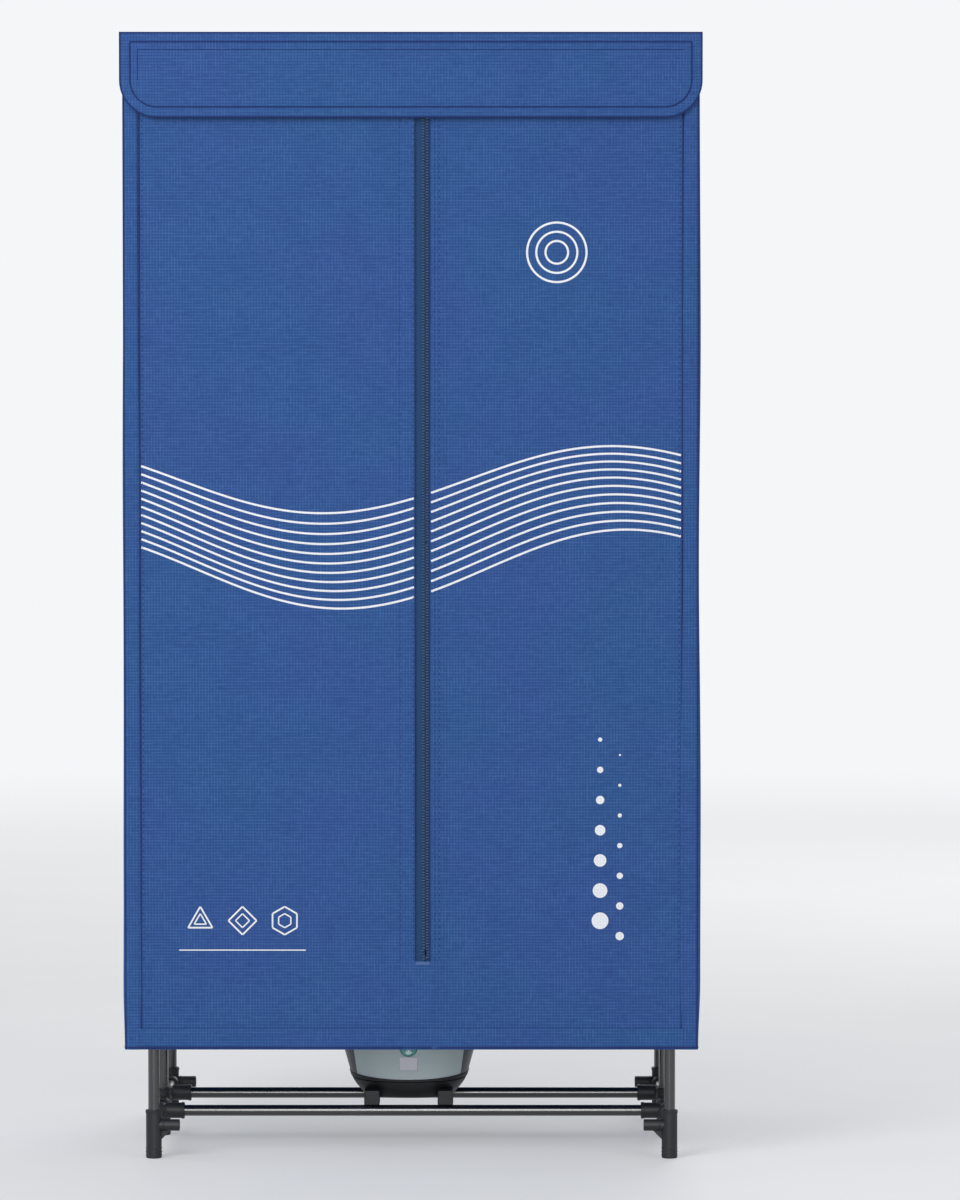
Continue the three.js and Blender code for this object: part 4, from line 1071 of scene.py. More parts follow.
TOOTH_PITCH = 4 * MM
TOOTH_SIZE = Vector((3.3 * MM, 0.9 * MM, 1.25 * MM))  # half lengths of one tooth
TOOTH_ASIDE = 2.6 * MM  # from the zip's middle to a tooth's
PARTED = 1.6 * MM  # how much further a tooth lies where the slider's post comes to rest at the foot
POST = 0.5 * MM  # half width of that post
POST_LOW, POST_HIGH = 4 * MM, 0.6 * MM  # its ends, below the slider's top
BAR_TACK = Vector((10 * MM, 0.5 * MM, 2.2 * MM))  # half lengths of the tack across the zip's foot
TAPE_RIDGE = 6.5 * MM  # from the zip's middle to the ridge along each tape
TAPE_SEAM = 12 * MM  # from the zip's middle to the stitches along each tape
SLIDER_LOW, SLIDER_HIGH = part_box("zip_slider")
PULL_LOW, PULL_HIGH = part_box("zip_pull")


class MakeZip(bpy.types.Operator):
    """Make the zip's two tapes and its teeth, from its foot to its head under the flap"""

    bl_idname = "dryer.zip"
    bl_label = "Zip"

    def execute(self, context):
        rows = join_runs(spread(ZIP_FOOT, SPLIT, 12 * MM), spread(SPLIT, ZIP_HEAD, 12 * MM))
        parking = ZIP_FOOT + (SLIDER_HIGH.z - SLIDER_LOW.z) - (POST_LOW + POST_HIGH) / 2
        for door, side in (("left", -1), ("right", 1)):
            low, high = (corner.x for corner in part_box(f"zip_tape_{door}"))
            ridge = ZIP_LINE + side * TAPE_RIDGE

            def place(x, z):
                out = 0.7 * MM * bump(x - ridge, 1.6 * MM) - 0.2 * MM * slack(x, 2, z, 1, 0.04)
                return Vector((x, TAPE_FACE - out, z))

            bm = cloth_grid(spread(low, high, 1.5 * MM), rows, place, front_mark)
            weave = (twill_zip_tape, "zip_tape", 0.6 * MM, MIDDLE)
            tapes = cut_at_widest("zip_tape_cloth", bm, door, *weave, f"zip_tape_{door}")
            shift = TOOTH_PITCH / 4 * side
            middles = []
            for z in spread(ZIP_FOOT + TOOTH_PITCH, ZIP_HEAD - 16 * MM, TOOTH_PITCH):
                if abs(z + shift - SPLIT) > TOOTH_SIZE.z:
                    aside = TOOTH_ASIDE + PARTED * (abs(z + shift - parking) < TOOTH_PITCH)
                    middles.append(Vector((ZIP_LINE + side * aside, TAPE_FACE - 1.0 * MM, z + shift)))
            bm = bmesh.new()
            size = Matrix.Diagonal((*TOOTH_SIZE, 1))
            stamp_balls(bm, 6, 5, [Matrix.Translation(middle) @ size for middle in middles])
            teeth = cut_at_widest("zip_teeth", bm, door, nylon_coil, "zip_tape")
            heights = [z for z in seam_marks(ZIP_FOOT, ZIP_HEAD) if abs(z - SPLIT) > 5 * MM]
            bm = stitched([Vector((ZIP_LINE + side * TAPE_SEAM, TAPE_FACE, z)) for z in heights], -1)
            sewn = cut_at_widest("zip_stitches", bm, door, spun_thread, "cover_cloth")
        # A dark cord along the right door's free edge stands for its bound edge and paints the shadow it
        # casts on the zip.
        bm = bmesh.new()
        for low, high in ((ZIP_FOOT, SPLIT), (SPLIT, DOOR_TOP)):
            edge = [Vector((ZIP_RIGHT - SEAM_CORD, FRONT + 0.2 * MM, z)) for z in spread(low, high, 20 * MM)]
            rod(bm, edge, SEAM_CORD, 8, Y)
        lay_uv(bm, 0, 2)
        cut_at_widest("door_edge_cord", bm, "right", grosgrain_binding, "cover_cloth")
        bm = bmesh.new()
        tack = front_place((ZIP_LEFT + ZIP_RIGHT) / 2, ZIP_FOOT - 1.5 * BAR_TACK.z)
        block(bm, tack - BAR_TACK, tack + BAR_TACK, 0.4 * MM)
        lay_uv(bm, 0, 2)
        add_piece("zip_bar_tack", bm, dense_tack, "cover_cloth", BODY)
        return {"FINISHED"}


class MakeSlider(bpy.types.Operator):
    """Make the zip's slider and its pull tab"""

    bl_idname = "dryer.slider"
    bl_label = "Slider and Pull"

    def execute(self, context):
        front, back = SLIDER_LOW.y, SLIDER_HIGH.y
        bm = bmesh.new()
        for low_y, high_y in ((front + 1.6 * MM, front + 2.9 * MM), (back - 1.2 * MM, back)):
            low = (SLIDER_LOW.x, low_y, SLIDER_LOW.z)
            block(bm, low, (SLIDER_HIGH.x, high_y, SLIDER_HIGH.z), 0.5 * MM, 3)
        low = (ZIP_LINE - POST, front + 2.4 * MM, SLIDER_HIGH.z - POST_LOW)
        block(bm, low, (ZIP_LINE + POST, back - 0.8 * MM, SLIDER_HIGH.z - POST_HIGH), 0.2 * MM)
        # The pull hangs on a bow over the slider's front.
        bow = []
        for t in spread(0, 1, 0.125):
            out = front + 2 * MM - 1.4 * MM * sin(pi * t)
            bow.append(Vector((ZIP_LINE, out, SLIDER_LOW.z + 3 * MM + 8.5 * MM * t)))
        rod(bm, bow, 0.8 * MM, 8, X)
        add_piece("slider_body", bm, cast_zinc, "zip_metal", "slider", ["zip_slider"])

        half = half_of("zip_pull").x
        bm = bmesh.new()
        eye = Vector((ZIP_LINE, (PULL_LOW.y + PULL_HIGH.y) / 2, PULL_HIGH.z - half))
        hoop(bm, eye, -Y, half * 0.72, 1.5 * MM, 20)
        low = (ZIP_LINE - half, PULL_LOW.y, PULL_LOW.z)
        block(bm, low, (ZIP_LINE + half, PULL_HIGH.y, PULL_HIGH.z - 1.6 * half), 0.45 * MM, 3)
        for z in spread(PULL_LOW.z + 4 * MM, PULL_LOW.z + 13 * MM, 2.2 * MM):
            low = (ZIP_LINE - 0.7 * half, PULL_LOW.y - 0.35 * MM, z)
            block(bm, low, (ZIP_LINE + 0.7 * half, PULL_LOW.y + 0.4 * MM, z + 1 * MM), 0.3 * MM)
        add_piece("slider_pull", bm, cast_zinc, "zip_metal", "slider", ["zip_pull"])
        return {"FINISHED"}


# The flap ------------------------------------------------------------------------------------------

FLAP_CORNER = 52 * MM
FLAP_SEAM = 14 * MM  # first row of stitches inside the flap's edge
FLAP_TUCK = 25 * MM  # second, fainter one, along its top and left
SEAM_STEP = 12 * MM  # how closely the seams' lines follow the cloth


def flap_edge(x, z):
    """Distance from a point of the flap to its nearest edge, which rounds its lower corners."""
    side = FLAP_HIGH.x - abs(x)
    foot = z - FLAP_LOW.z
    if side < FLAP_CORNER and foot < FLAP_CORNER:
        return FLAP_CORNER - hypot(FLAP_CORNER - side, FLAP_CORNER - foot)
    return min(side, foot)


def flap_place(x, z, lift=0.0):
    """The point of the flap at x and z, or one that far in front of it."""
    edge = flap_edge(x, z)
    top = FLAP_HIGH.z - z
    inward = min(edge, top) - FLAP_SEAM
    groove = bump(inward, 2 * MM) - 0.6 * bump(inward, 6 * MM)
    faint = bump(top - FLAP_TUCK, 1.6 * MM) * (edge > FLAP_TUCK)
    faint += bump(FLAP_HIGH.x + x - FLAP_TUCK, 1.6 * MM) * (top > FLAP_TUCK) * (edge > FLAP_SEAM + 4 * MM)
    out = settings("cover").wave * 0.8 * slack(x, 4, z, 0.13, 0.2) + 1.2 * MM * (top / 0.12) ** 2
    out += 0.4 * MM * slack(x, 0, 0, 0.012, 1) * bump(edge - FLAP_SEAM, 8 * MM)
    out += lift - 1.0 * MM * groove - 0.5 * MM * faint
    return Vector((x, FLAP_LOW.y - out * ease(top / (12 * MM)), z))


def flap_seam():
    """The flap's first row of stitches, as places (x, z) round it."""
    low, high = FLAP_LOW.z + FLAP_SEAM, FLAP_HIGH.z - FLAP_SEAM
    right = FLAP_HIGH.x - FLAP_SEAM
    turn = FLAP_CORNER - FLAP_SEAM
    corner = arc((right - turn, low + turn), turn, 270, 360, 10)
    half = [(x, low) for x in spread(0, right - turn, SEAM_STEP)] + [(x, z) for x, z, *_ in corner[1:]]
    half += [(right, z) for z in spread(low + turn, high, SEAM_STEP)[1:]]
    half += [(x, high) for x in spread(right, 0, SEAM_STEP)[1:]]
    return half + [(-x, z) for x, z in reversed(half[1:-1])]


class MakeFlap(bpy.types.Operator):
    """Make the flap that hangs over the top of the doors, with its seams and bound edge"""

    bl_idname = "dryer.flap"
    bl_label = "Flap"

    def execute(self, context):
        def across(share, z):
            foot = max(0, FLAP_CORNER - (z - FLAP_LOW.z))
            return share * (FLAP_HIGH.x - FLAP_CORNER + sqrt(max(0, FLAP_CORNER**2 - foot**2)))

        def place(share, z):
            return flap_place(across(share, z), z)

        bends = spread(radians(4), pi / 2, radians(3))
        rounding = [FLAP_LOW.z + FLAP_CORNER * (1 - cos(a)) for a in bends]
        rows = join_runs([FLAP_LOW.z, *rounding], spread(FLAP_LOW.z + FLAP_CORNER, FLAP_HIGH.z, 2.8 * MM))
        bm = cloth_grid(spread(-1, 1, 0.0075), rows, place, lambda share, z: (across(share, z), z))
        gauge = settings("cover").gauge
        flap = add_piece("flap_cloth", bm, woven_polyester, "cover_cloth", wall=gauge, inside=MIDDLE)
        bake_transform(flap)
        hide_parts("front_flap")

        half = [(-1, z) for z in spread(FLAP_HIGH.z, FLAP_LOW.z + FLAP_CORNER, 20 * MM)]
        half += [(-1, z) for z in reversed(rounding)]
        trail = half + [(share, FLAP_LOW.z) for share in spread(-0.87, 0.87, 0.05)]
        trail += [(-share, z) for share, z in reversed(half)]
        points = [place(share, max(z, FLAP_LOW.z)) + 0.4 * MM * Y for share, z in trail]
        edge = piped("flap_binding", points, None, False, 0.9, Y)
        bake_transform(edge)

        top = [flap_place(x, FLAP_HIGH.z - 1.2 * MM) for x in spread(-FLAP_HIGH.x, FLAP_HIGH.x, 40 * MM)]
        piped("flap_top_binding", top, BODY, False, up=Y, radius=SEAM_CORD)
        # Dark cords in the flap's seams stand for their thread and paint the shade in their grooves.
        seam = [flap_place(x, z, 0.5 * MM) for x, z in flap_seam()]
        left = -FLAP_HIGH.x + FLAP_TUCK
        high = FLAP_HIGH.z - FLAP_TUCK
        trail = [(left, z) for z in spread(FLAP_LOW.z + FLAP_CORNER, high, SEAM_STEP)]
        trail += [(x, high) for x in spread(left, -left, SEAM_STEP)[1:]]
        tuck = [flap_place(x, z, 0.2 * MM) for x, z in trail]
        lines = [
            piped("flap_seam_line", seam, "flap", up=Y, radius=SEAM_CORD),
            piped("flap_tuck_thread_and_shade", tuck, "flap", False, up=Y, radius=0.5 * SEAM_CORD),
        ]
        return {"FINISHED"}


# The floor cloth -----------------------------------------------------------------------------------

PLAN_POWER = 2.7  # how square the heater's plan is
HOLE_SPARE = 1.5 * MM  # how far the cloth stays off the heater
EYELET_SHARE = 0.9  # how far out from the hole the legs come through the cloth
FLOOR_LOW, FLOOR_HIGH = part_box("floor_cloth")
HOLE_MIDDLE = Vector((HEATER_X, 0, FLOOR_HIGH.z))  # in line with the heater, on the floor cloth


def superellipse(angle, half_x, half_y):
    """A point on a rounded oblong, the plan of the heater."""
    reach = (abs(cos(angle)) ** PLAN_POWER + abs(sin(angle)) ** PLAN_POWER) ** (-1 / PLAN_POWER)
    return Vector((half_x * reach * cos(angle), half_y * reach * sin(angle), 0))


def hole_rim(angle):
    """A point on the rim of the floor cloth's hole."""
    return HOLE_MIDDLE + superellipse(angle, HEATER_HALF_X + HOLE_SPARE, HEATER_HALF_Y + HOLE_SPARE)


def floor_edge(angle):
    """A point on the floor cloth's outer edge, seen from the heater's middle at an angle."""
    low, high = FLOOR_LOW, FLOOR_HIGH
    reaches = []
    for share, start, near, far in ((cos(angle), HEATER_X, low.x, high.x), (sin(angle), 0, low.y, high.y)):
        if abs(share) > 1e-9:
            reaches.append(((far if share > 0 else near) - start) / share)
    return HOLE_MIDDLE + min(reaches) * Vector((cos(angle), sin(angle), 0))


def floor_place(angle, share):
    """A point of the floor cloth, at a share of the way from its hole to its outer edge."""
    point = hole_rim(angle).lerp(floor_edge(angle), share)
    gather = 1.6 * MM * cos(36 * angle) * (1 - share) ** 6
    sag = 5 * MM * sin(pi * share) * (0.7 + 0.5 * slack(point.x, point.y, 0, 0.14, 1))
    return point + (gather - sag) * Z


class MakeFloorCloth(bpy.types.Operator):
    """Make the cloth that closes the cabinet's foot round the heater, with its elastic rim"""

    bl_idname = "dryer.floor_cloth"
    bl_label = "Floor Cloth"

    def execute(self, context):
        angles = spread(0, 2 * pi, pi / 60)
        bm = cloth_grid(angles, spread(0, 1, 0.04), floor_place, lambda *at: floor_place(*at).xy)
        bmesh.ops.remove_doubles(bm, verts=bm.verts, dist=1e-5)
        cloth = in_cloth("floor_cloth_sheet", bm, "floor_cloth")
        elastic = piped("elastic_rim", [hole_rim(a) for a in angles[:-1]], BODY)
        bm = bmesh.new()
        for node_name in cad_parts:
            if node_name.startswith("upright_"):
                leg = centre_of(node_name)
                angle = -X.xy.angle_signed(leg.xy - Vector((HEATER_X, 0)))
                at = Vector((leg.x, leg.y, floor_place(angle % (2 * pi), EYELET_SHARE).z))
                hoop(bm, at, Z, 9.2 * MM, 2.4 * MM, 24)
        lay_uv(bm, 0, 1)
        eyelets = add_piece("leg_eyelets", bm, grosgrain_binding, "cover_cloth", BODY)
        return {"FINISHED"}


# The stand -----------------------------------------------------------------------------------------

TUBE = half_of("upright_front_left").x  # outer radius
TUBE_WALL = 1.1 * MM
TUBE_EDGE = 0.8 * MM  # rounding of a tube's cut ends
SOCKET = half_of("foot_middle_left").x  # outer radius
BORE = TUBE + 0.3 * MM
BORE_DEPTH = 18 * MM
LEG_X = centre_of("upright_front_right").x
SIDE_TUBE_Z = centre_of("side_tube_lower_front_left").z
RAIL_Z = centre_of("heater_rail_front").z
TOP_TUBE_Z = centre_of("hanging_tube_front").z
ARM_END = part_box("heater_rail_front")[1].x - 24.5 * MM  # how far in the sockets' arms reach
PEG = 8.3 * MM  # radius of the arm that carries nothing
RIB = 1.6 * MM  # thickness of a raised ring round a socket
BITE = 1 * MM  # how far a web runs into the sockets that it joins
FOOT_ARM = 34.2 * MM  # length of the arm that holds a side tube
CLAMP_ARM = 11.3 * MM  # radius of the bracket's arm, which holds a rail


def socket(bm, place, direction, reach, radius, mouth=True):
    """A moulded socket from a place along a direction: a rolled lip at its mouth, or a rounded blind end."""
    look = settings("stand")
    edge, lip = look.fillet, look.lip
    outline = [(0, 0), (radius - edge, 0), (radius - 0.3 * edge, 0.3 * edge), (radius, edge)]
    if mouth:
        outline += [
            (radius, reach - lip - 1 * MM),
            (radius + 0.7 * MM, reach - lip),
            (radius + 0.7 * MM, reach - 0.8 * MM),
            (radius, reach),
            (BORE + 0.6 * MM, reach),
            (BORE, reach - 0.6 * MM),
            (BORE, reach - BORE_DEPTH),
            (0, reach - BORE_DEPTH),
        ]
    else:
        outline += [
            (radius, reach - edge),
            (radius - 0.3 * edge, reach - 0.3 * edge),
            (radius - edge, reach),
            (radius - 2.5 * MM, reach),
            (radius - 3.2 * MM, reach - 1.2 * MM),
            (0, reach - 1.2 * MM),
        ]
    lathe(bm, outline, pointing(place, direction), 36)


def web(bm, hub, along_arm, under, size):
    """A three-cornered web, 3 mm thick, in the angle under an arm and beside an upright socket."""
    corner = hub + (SOCKET - BITE) * along_arm - (under - BITE) * Z
    half = 1.5 * MM * (Y if along_arm.x else X)
    points = [corner, corner + size * along_arm, corner - size * Z]
    face = bm.faces.new([bm.verts.new(point - half) for point in points])
    pulled = bmesh.ops.extrude_face_region(bm, geom=[face])["geom"]
    verts = [item for item in pulled if isinstance(item, bmesh.types.BMVert)]
    bmesh.ops.translate(bm, vec=2 * half, verts=verts)


def nodes_of(*kinds):
    """Names of the CAD nodes that start with one of these words, in order, each with its side: -1 is left."""
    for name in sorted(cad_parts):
        if name.startswith(kinds):
            yield name, -1 if name.endswith("left") else 1


def nylon_piece(node_name, bm):
    """A moulded socket of the stand, in place of its CAD node."""
    add_piece(f"{node_name}_moulding", bm, moulded_nylon, "socket_plastic", BODY, [node_name])


class MakeTubes(bpy.types.Operator):
    """Make the stand's steel tubes: uprights, side tubes, hanging tubes and the heater's rails"""

    bl_idname = "dryer.tubes"
    bl_label = "Tubes"

    def execute(self, context):
        for name, _ in nodes_of("upright_", "side_tube_", "hanging_tube_", "heater_rail_"):
            half = half_of(name)
            axis = max(range(3), key=lambda k: half[k])
            direction = (X, Y, Z)[axis]
            reach = 2 * half[axis]
            shy = 0.3 * TUBE_EDGE
            inner = TUBE - TUBE_WALL
            outline = [(inner, 0), (TUBE - TUBE_EDGE, 0), (TUBE - shy, shy), (TUBE, TUBE_EDGE)]
            outline += [(TUBE, z) for z in spread(TUBE_EDGE, reach - TUBE_EDGE, 160 * MM)[1:]]
            outline += [(TUBE - shy, reach - shy), (TUBE - TUBE_EDGE, reach), (inner, reach), (inner, 0)]
            bm = bmesh.new()
            lathe(bm, outline, pointing(centre_of(name) - direction * half[axis], direction))
            add_piece(f"{name}_tube", bm, powder_coat, "tube_enamel", BODY, [name])
        return {"FINISHED"}


class MakeFeet(bpy.types.Operator):
    """Make the six feet, each with its upright socket, its arms and its webs"""

    bl_idname = "dryer.feet"
    bl_label = "Feet"

    def execute(self, context):
        for name, side in nodes_of("foot_"):
            leg = centre_of(name.replace("foot", "upright"))
            sole = Vector((leg.x, leg.y, 0))
            hub = Vector((leg.x, leg.y, SIDE_TUBE_Z))
            bm = bmesh.new()
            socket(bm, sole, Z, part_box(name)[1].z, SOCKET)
            for height in (4 * MM, 9 * MM, 14 * MM):
                hoop(bm, sole + height * Z, Z, SOCKET - 0.1 * MM, RIB)
            ways = {"front": (1,), "middle": (-1, 1), "rear": (-1,)}[name.split("_")[1]]
            for way in ways:
                socket(bm, hub, way * Y, FOOT_ARM, SOCKET)
                web(bm, hub, way * Y, SOCKET, 13 * MM)
            if len(ways) == 1:
                inward = -side * X
                socket(bm, hub, inward, abs(leg.x) - ARM_END, PEG, mouth=False)
                hoop(bm, hub + (SOCKET + 3 * MM) * inward, inward, PEG, RIB)
                web(bm, hub, inward, PEG, 14 * MM)
            nylon_piece(name, bm)
        return {"FINISHED"}


class MakeTopConnectors(bpy.types.Operator):
    """Make the six connectors that join the uprights to the hanging tubes"""

    bl_idname = "dryer.top_connectors"
    bl_label = "Top Connectors"

    def execute(self, context):
        for name, side in nodes_of("top_connector_"):
            leg = centre_of(name.replace("top_connector", "upright"))
            hub = Vector((leg.x, leg.y, TOP_TUBE_Z))
            inward = -side * X
            bm = bmesh.new()
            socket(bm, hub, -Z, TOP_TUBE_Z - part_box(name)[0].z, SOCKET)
            for way in (-1, 1):
                socket(bm, hub, way * Y, half_of(name).y, SOCKET)
            socket(bm, hub, inward, abs(leg.x) - ARM_END, SOCKET)
            hoop(bm, hub - 20 * MM * Z, Z, SOCKET, RIB)
            web(bm, hub, inward, SOCKET, 14 * MM)
            nylon_piece(name, bm)
        return {"FINISHED"}


class MakeBrackets(bpy.types.Operator):
    """Make the four brackets that clamp the heater's rails to the side tubes"""

    bl_idname = "dryer.brackets"
    bl_label = "Rail Brackets"

    def execute(self, context):
        for name, side in nodes_of("rail_bracket_"):
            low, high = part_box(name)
            middle = (low.y + high.y) / 2
            width = high.y - low.y
            radius = abs(high.x if side > 0 else low.x) - LEG_X
            edge = 1.2 * MM
            outline = [(BORE, 0), (radius - edge, 0), (radius, edge), (radius, width - edge)]
            outline += [(radius - edge, width), (BORE, width), (BORE, 0)]
            clamp = Vector((side * LEG_X, low.y, SIDE_TUBE_Z))
            bm = bmesh.new()
            lathe(bm, outline, pointing(clamp, Y))
            start = Vector((side * (LEG_X - 9 * MM), middle, RAIL_Z))
            socket(bm, start, -side * X, abs(start.x) - ARM_END, CLAMP_ARM)
            for way in (-1, 1):
                hoop(bm, clamp + (width / 2 + way * 8 * MM) * Y, Y, radius, RIB)
            screw = [(0, 1.4 * MM), (2.4 * MM, 1.4 * MM), (3.4 * MM, 0.6 * MM), (3.6 * MM, 0)]
            head = Vector((side * LEG_X, middle, SIDE_TUBE_Z + radius - 0.4 * MM))
            lathe(bm, screw, Matrix.Translation(head), 20)
            nylon_piece(name, bm)
        return {"FINISHED"}


# The heater ----------------------------------------------------------------------------------------

SHOULDER = 172 * MM  # height at which the walls turn in to the top
FLARE = 40 * MM  # height over which the casing widens above its split
SPLIT_INSET = (11.4 * MM, 4 * MM)  # how far in each side lies at the split
FOOT_INSET = 18.6 * MM  # how much further in it lies at the foot
FOOT_CURVE = 1.4  # how late the lower casing turns in to its foot
DOME_INSET = 40 * MM  # how far in the top would end if its arc were whole
DOME_TURN = 0.96  # share of that arc that is made
PLATE_FOOT = 100.5 * MM  # height of the front plate's lower corners
PLATE_SAG = 4.5 * MM  # how much lower its lower edge is in the middle
PLATE_HALF_FOOT = 74 * MM
PLATE_THICKNESS = 2.2 * MM
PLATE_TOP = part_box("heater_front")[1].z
PLATE_HALF_TOP = half_of("heater_front").x
SEAT = 0.3 * MM  # clearance between the casing and what lies on it
OUTLET = half_of("outlet_grille").y
BUTTON_AT = centre_of("power_button")
BUTTON = half_of("power_button").x
FEET_APART = 106.5 * MM
FOOT_WIDTH = 22.5 * MM
LOUVRE_X, LOUVRE_Y = 34 * MM, 60 * MM  # half lengths of the louvred field under the base


def casing_half(z):
    """Half width and half depth of the heater at a height."""
    half = (HEATER_HALF_X, HEATER_HALF_Y)
    if z <= HEATER_SPLIT:
        t = (z - HEATER_FOOT) / (HEATER_SPLIT - HEATER_FOOT)
        slope = FOOT_INSET * max(0, 1 - t) ** FOOT_CURVE
        return [side - inset - slope for side, inset in zip(half, SPLIT_INSET)]
    if z <= SHOULDER:
        t = min((z - HEATER_SPLIT) / FLARE, 1)
        return [side - inset * (1 - t) for side, inset in zip(half, SPLIT_INSET)]
    t = (z - SHOULDER) / (HEATER_TOP - SHOULDER)
    shrink = DOME_INSET * (1 - sqrt(1 - (DOME_TURN * t) ** 2))
    return [side - shrink for side in half]


def casing_front(x, z):
    """Where the casing's front wall is at a width and a height."""
    half_x, half_y = casing_half(z)
    share = min(abs(x - HEATER_X) / half_x, 1)
    return -half_y * (1 - share**PLAN_POWER) ** (1 / PLAN_POWER)


def push_ring(bm, edges, move):
    """Pulls a new ring of walls from edges, and moves each of its points."""
    pulled = bmesh.ops.extrude_edge_only(bm, edges=edges)["geom"]
    fresh = {item for item in pulled if isinstance(item, bmesh.types.BMVert)}
    for vert in fresh:
        vert.co = move(vert.co)
    return [item for item in pulled if isinstance(item, bmesh.types.BMEdge) and fresh.issuperset(item.verts)]


def casing_loft(bm, heights, spare=0.0, steps=96):
    """Rings of the heater's plan at the given heights, joined by walls and open at both ends."""
    verts = bmesh.ops.create_circle(bm, segments=steps, radius=1)["verts"]
    half = casing_half(heights[0])
    for i, vert in enumerate(verts):
        point = superellipse(2 * pi * i / steps, half[0] + spare, half[1] + spare)
        vert.co = Vector((HEATER_X, 0, heights[0])) + point
    edges = list({edge for vert in verts for edge in vert.link_edges})
    for z in heights[1:]:
        last, half = half, casing_half(z)
        wider, deeper = [(now + spare) / (before + spare) for now, before in zip(half, last)]
        edges = push_ring(
            bm, edges, lambda co: Vector((HEATER_X + (co.x - HEATER_X) * wider, co.y * deeper, z))
        )
    return edges


def open_hole(bm, centre, size, is_round):
    """Opens a round or square hole in a flat grid on XZ, and draws the faces round it up to its edge."""

    def reach(point):
        x, z = (point.x - centre.x) / size[0], (point.z - centre.z) / size[1]
        return hypot(x, z) if is_round else max(abs(x), abs(z))

    inner = [face for face in bm.faces if reach(face.calc_center_median()) < 1]
    rim = {vert for face in inner for vert in face.verts}
    bmesh.ops.delete(bm, geom=inner, context="FACES")
    for vert in rim:
        if vert.is_valid:
            aside = (vert.co - centre) / reach(vert.co)
            vert.co = Vector((centre.x + aside.x, 0, centre.z + aside.z))


def moulding(name, bm, wall, *nodes, paint=moulded_base, slot="base_plastic"):
    """A thin moulded wall of the heater's casing, behind the face that looks out of the heater."""
    return add_piece(name, bm, paint, slot, BODY, nodes, wall, MIDDLE_OF_HEATER)


class MakeHeaterBase(bpy.types.Operator):
    """Make the heater's lower casing, with its intake louvres and the pads that stand on the rails"""

    bl_idname = "dryer.heater_base"
    bl_label = "Heater Base"

    def execute(self, context):
        bm = bmesh.new()
        heights = spread(HEATER_FOOT, HEATER_SPLIT - 1.5 * MM, 3 * MM)
        casing_loft(bm, heights)
        first = [edge for edge in bm.edges if all(abs(vert.co.z - heights[0]) < 1e-6 for vert in edge.verts)]
        draw_in = Matrix.Translation((HEATER_X, 0, -0.8 * MM)) @ Matrix.Diagonal((0.97, 0.97, 1, 1))
        inner = push_ring(bm, first, lambda co: draw_in @ (co - HEATER_X * X))
        bmesh.ops.edgeloop_fill(bm, edges=inner)
        moulding("heater_base_casing", bm, 2 * MM, "heater_base")

        bm = bmesh.new()
        for side in (-1, 1):
            x = HEATER_X + side * FEET_APART / 2
            for rail in ("heater_rail_front", "heater_rail_rear"):
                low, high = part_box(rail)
                inward = 1 if low.y < 0 else -1
                ends = sorted((low.y if inward > 0 else high.y, inward * -LOUVRE_Y))
                corner = (x - FOOT_WIDTH / 2, ends[0], high.z + SEAT)
                block(bm, corner, (x + FOOT_WIDTH / 2, ends[1], HEATER_FOOT + 13 * MM), 1.8 * MM, 3)
        for y in spread(-LOUVRE_Y, LOUVRE_Y, 8 * MM):
            corner = (HEATER_X - LOUVRE_X, y, HEATER_FOOT - 2.6 * MM)
            block(bm, corner, (HEATER_X + LOUVRE_X, y + 3 * MM, HEATER_FOOT), 0.6 * MM)
        add_piece("heater_pads", bm, moulded_base, "base_plastic", BODY)

        bm = bmesh.new()
        casing_loft(bm, [HEATER_SPLIT + z * MM for z in (0.4, 2, 4, 5.6, 6)], 1.1 * MM)
        moulding("casing_skirt", bm, 1.2 * MM)
        return {"FINISHED"}


class MakeHeaterShell(bpy.types.Operator):
    """Make the heater's upper casing, from the split up to the rim of the outlet"""

    bl_idname = "dryer.heater_shell"
    bl_label = "Heater Shell"

    def execute(self, context):
        heights = join_runs(
            spread(HEATER_SPLIT, HEATER_SPLIT + FLARE, 5 * MM),
            spread(HEATER_SPLIT + FLARE, SHOULDER, 8 * MM),
        )
        bends = spread(radians(6), pi / 2, radians(6))
        heights += [SHOULDER + (HEATER_TOP - SHOULDER) * sin(a) for a in bends]
        bm = bmesh.new()
        ring = casing_loft(bm, heights)
        middle = Vector((HEATER_X, 0, HEATER_TOP))
        # The top runs in to the outlet, dips at its rim and ends in a short wall.
        for share, drop in ((0.5, 0), (0.85, 0), (1, 0.8 * MM), (0, 3 * MM)):

            def move(co):
                aside = co - middle
                rim = middle + (OUTLET + SEAT) * Vector((aside.x, aside.y, 0)).normalized()
                return co.lerp(rim, share) - drop * Z

            ring = push_ring(bm, ring, move)
        wall = settings("heater").wall
        moulding("heater_shell_casing", bm, wall, "heater_shell", paint=moulded_casing, slot="casing_plastic")
        return {"FINISHED"}


def plate_foot(share):
    """Height of the front plate's lower edge at a share of its half width."""
    return PLATE_FOOT - PLATE_SAG * (1 - share**2)


def plate_outline(share, rise):
    """A point of the front plate, at shares of its half width and of its height."""
    foot = plate_foot(share)
    half = PLATE_HALF_FOOT + (PLATE_HALF_TOP - PLATE_HALF_FOOT) * rise
    return Vector((HEATER_X + share * half, 0, foot + (PLATE_TOP - foot) * rise))


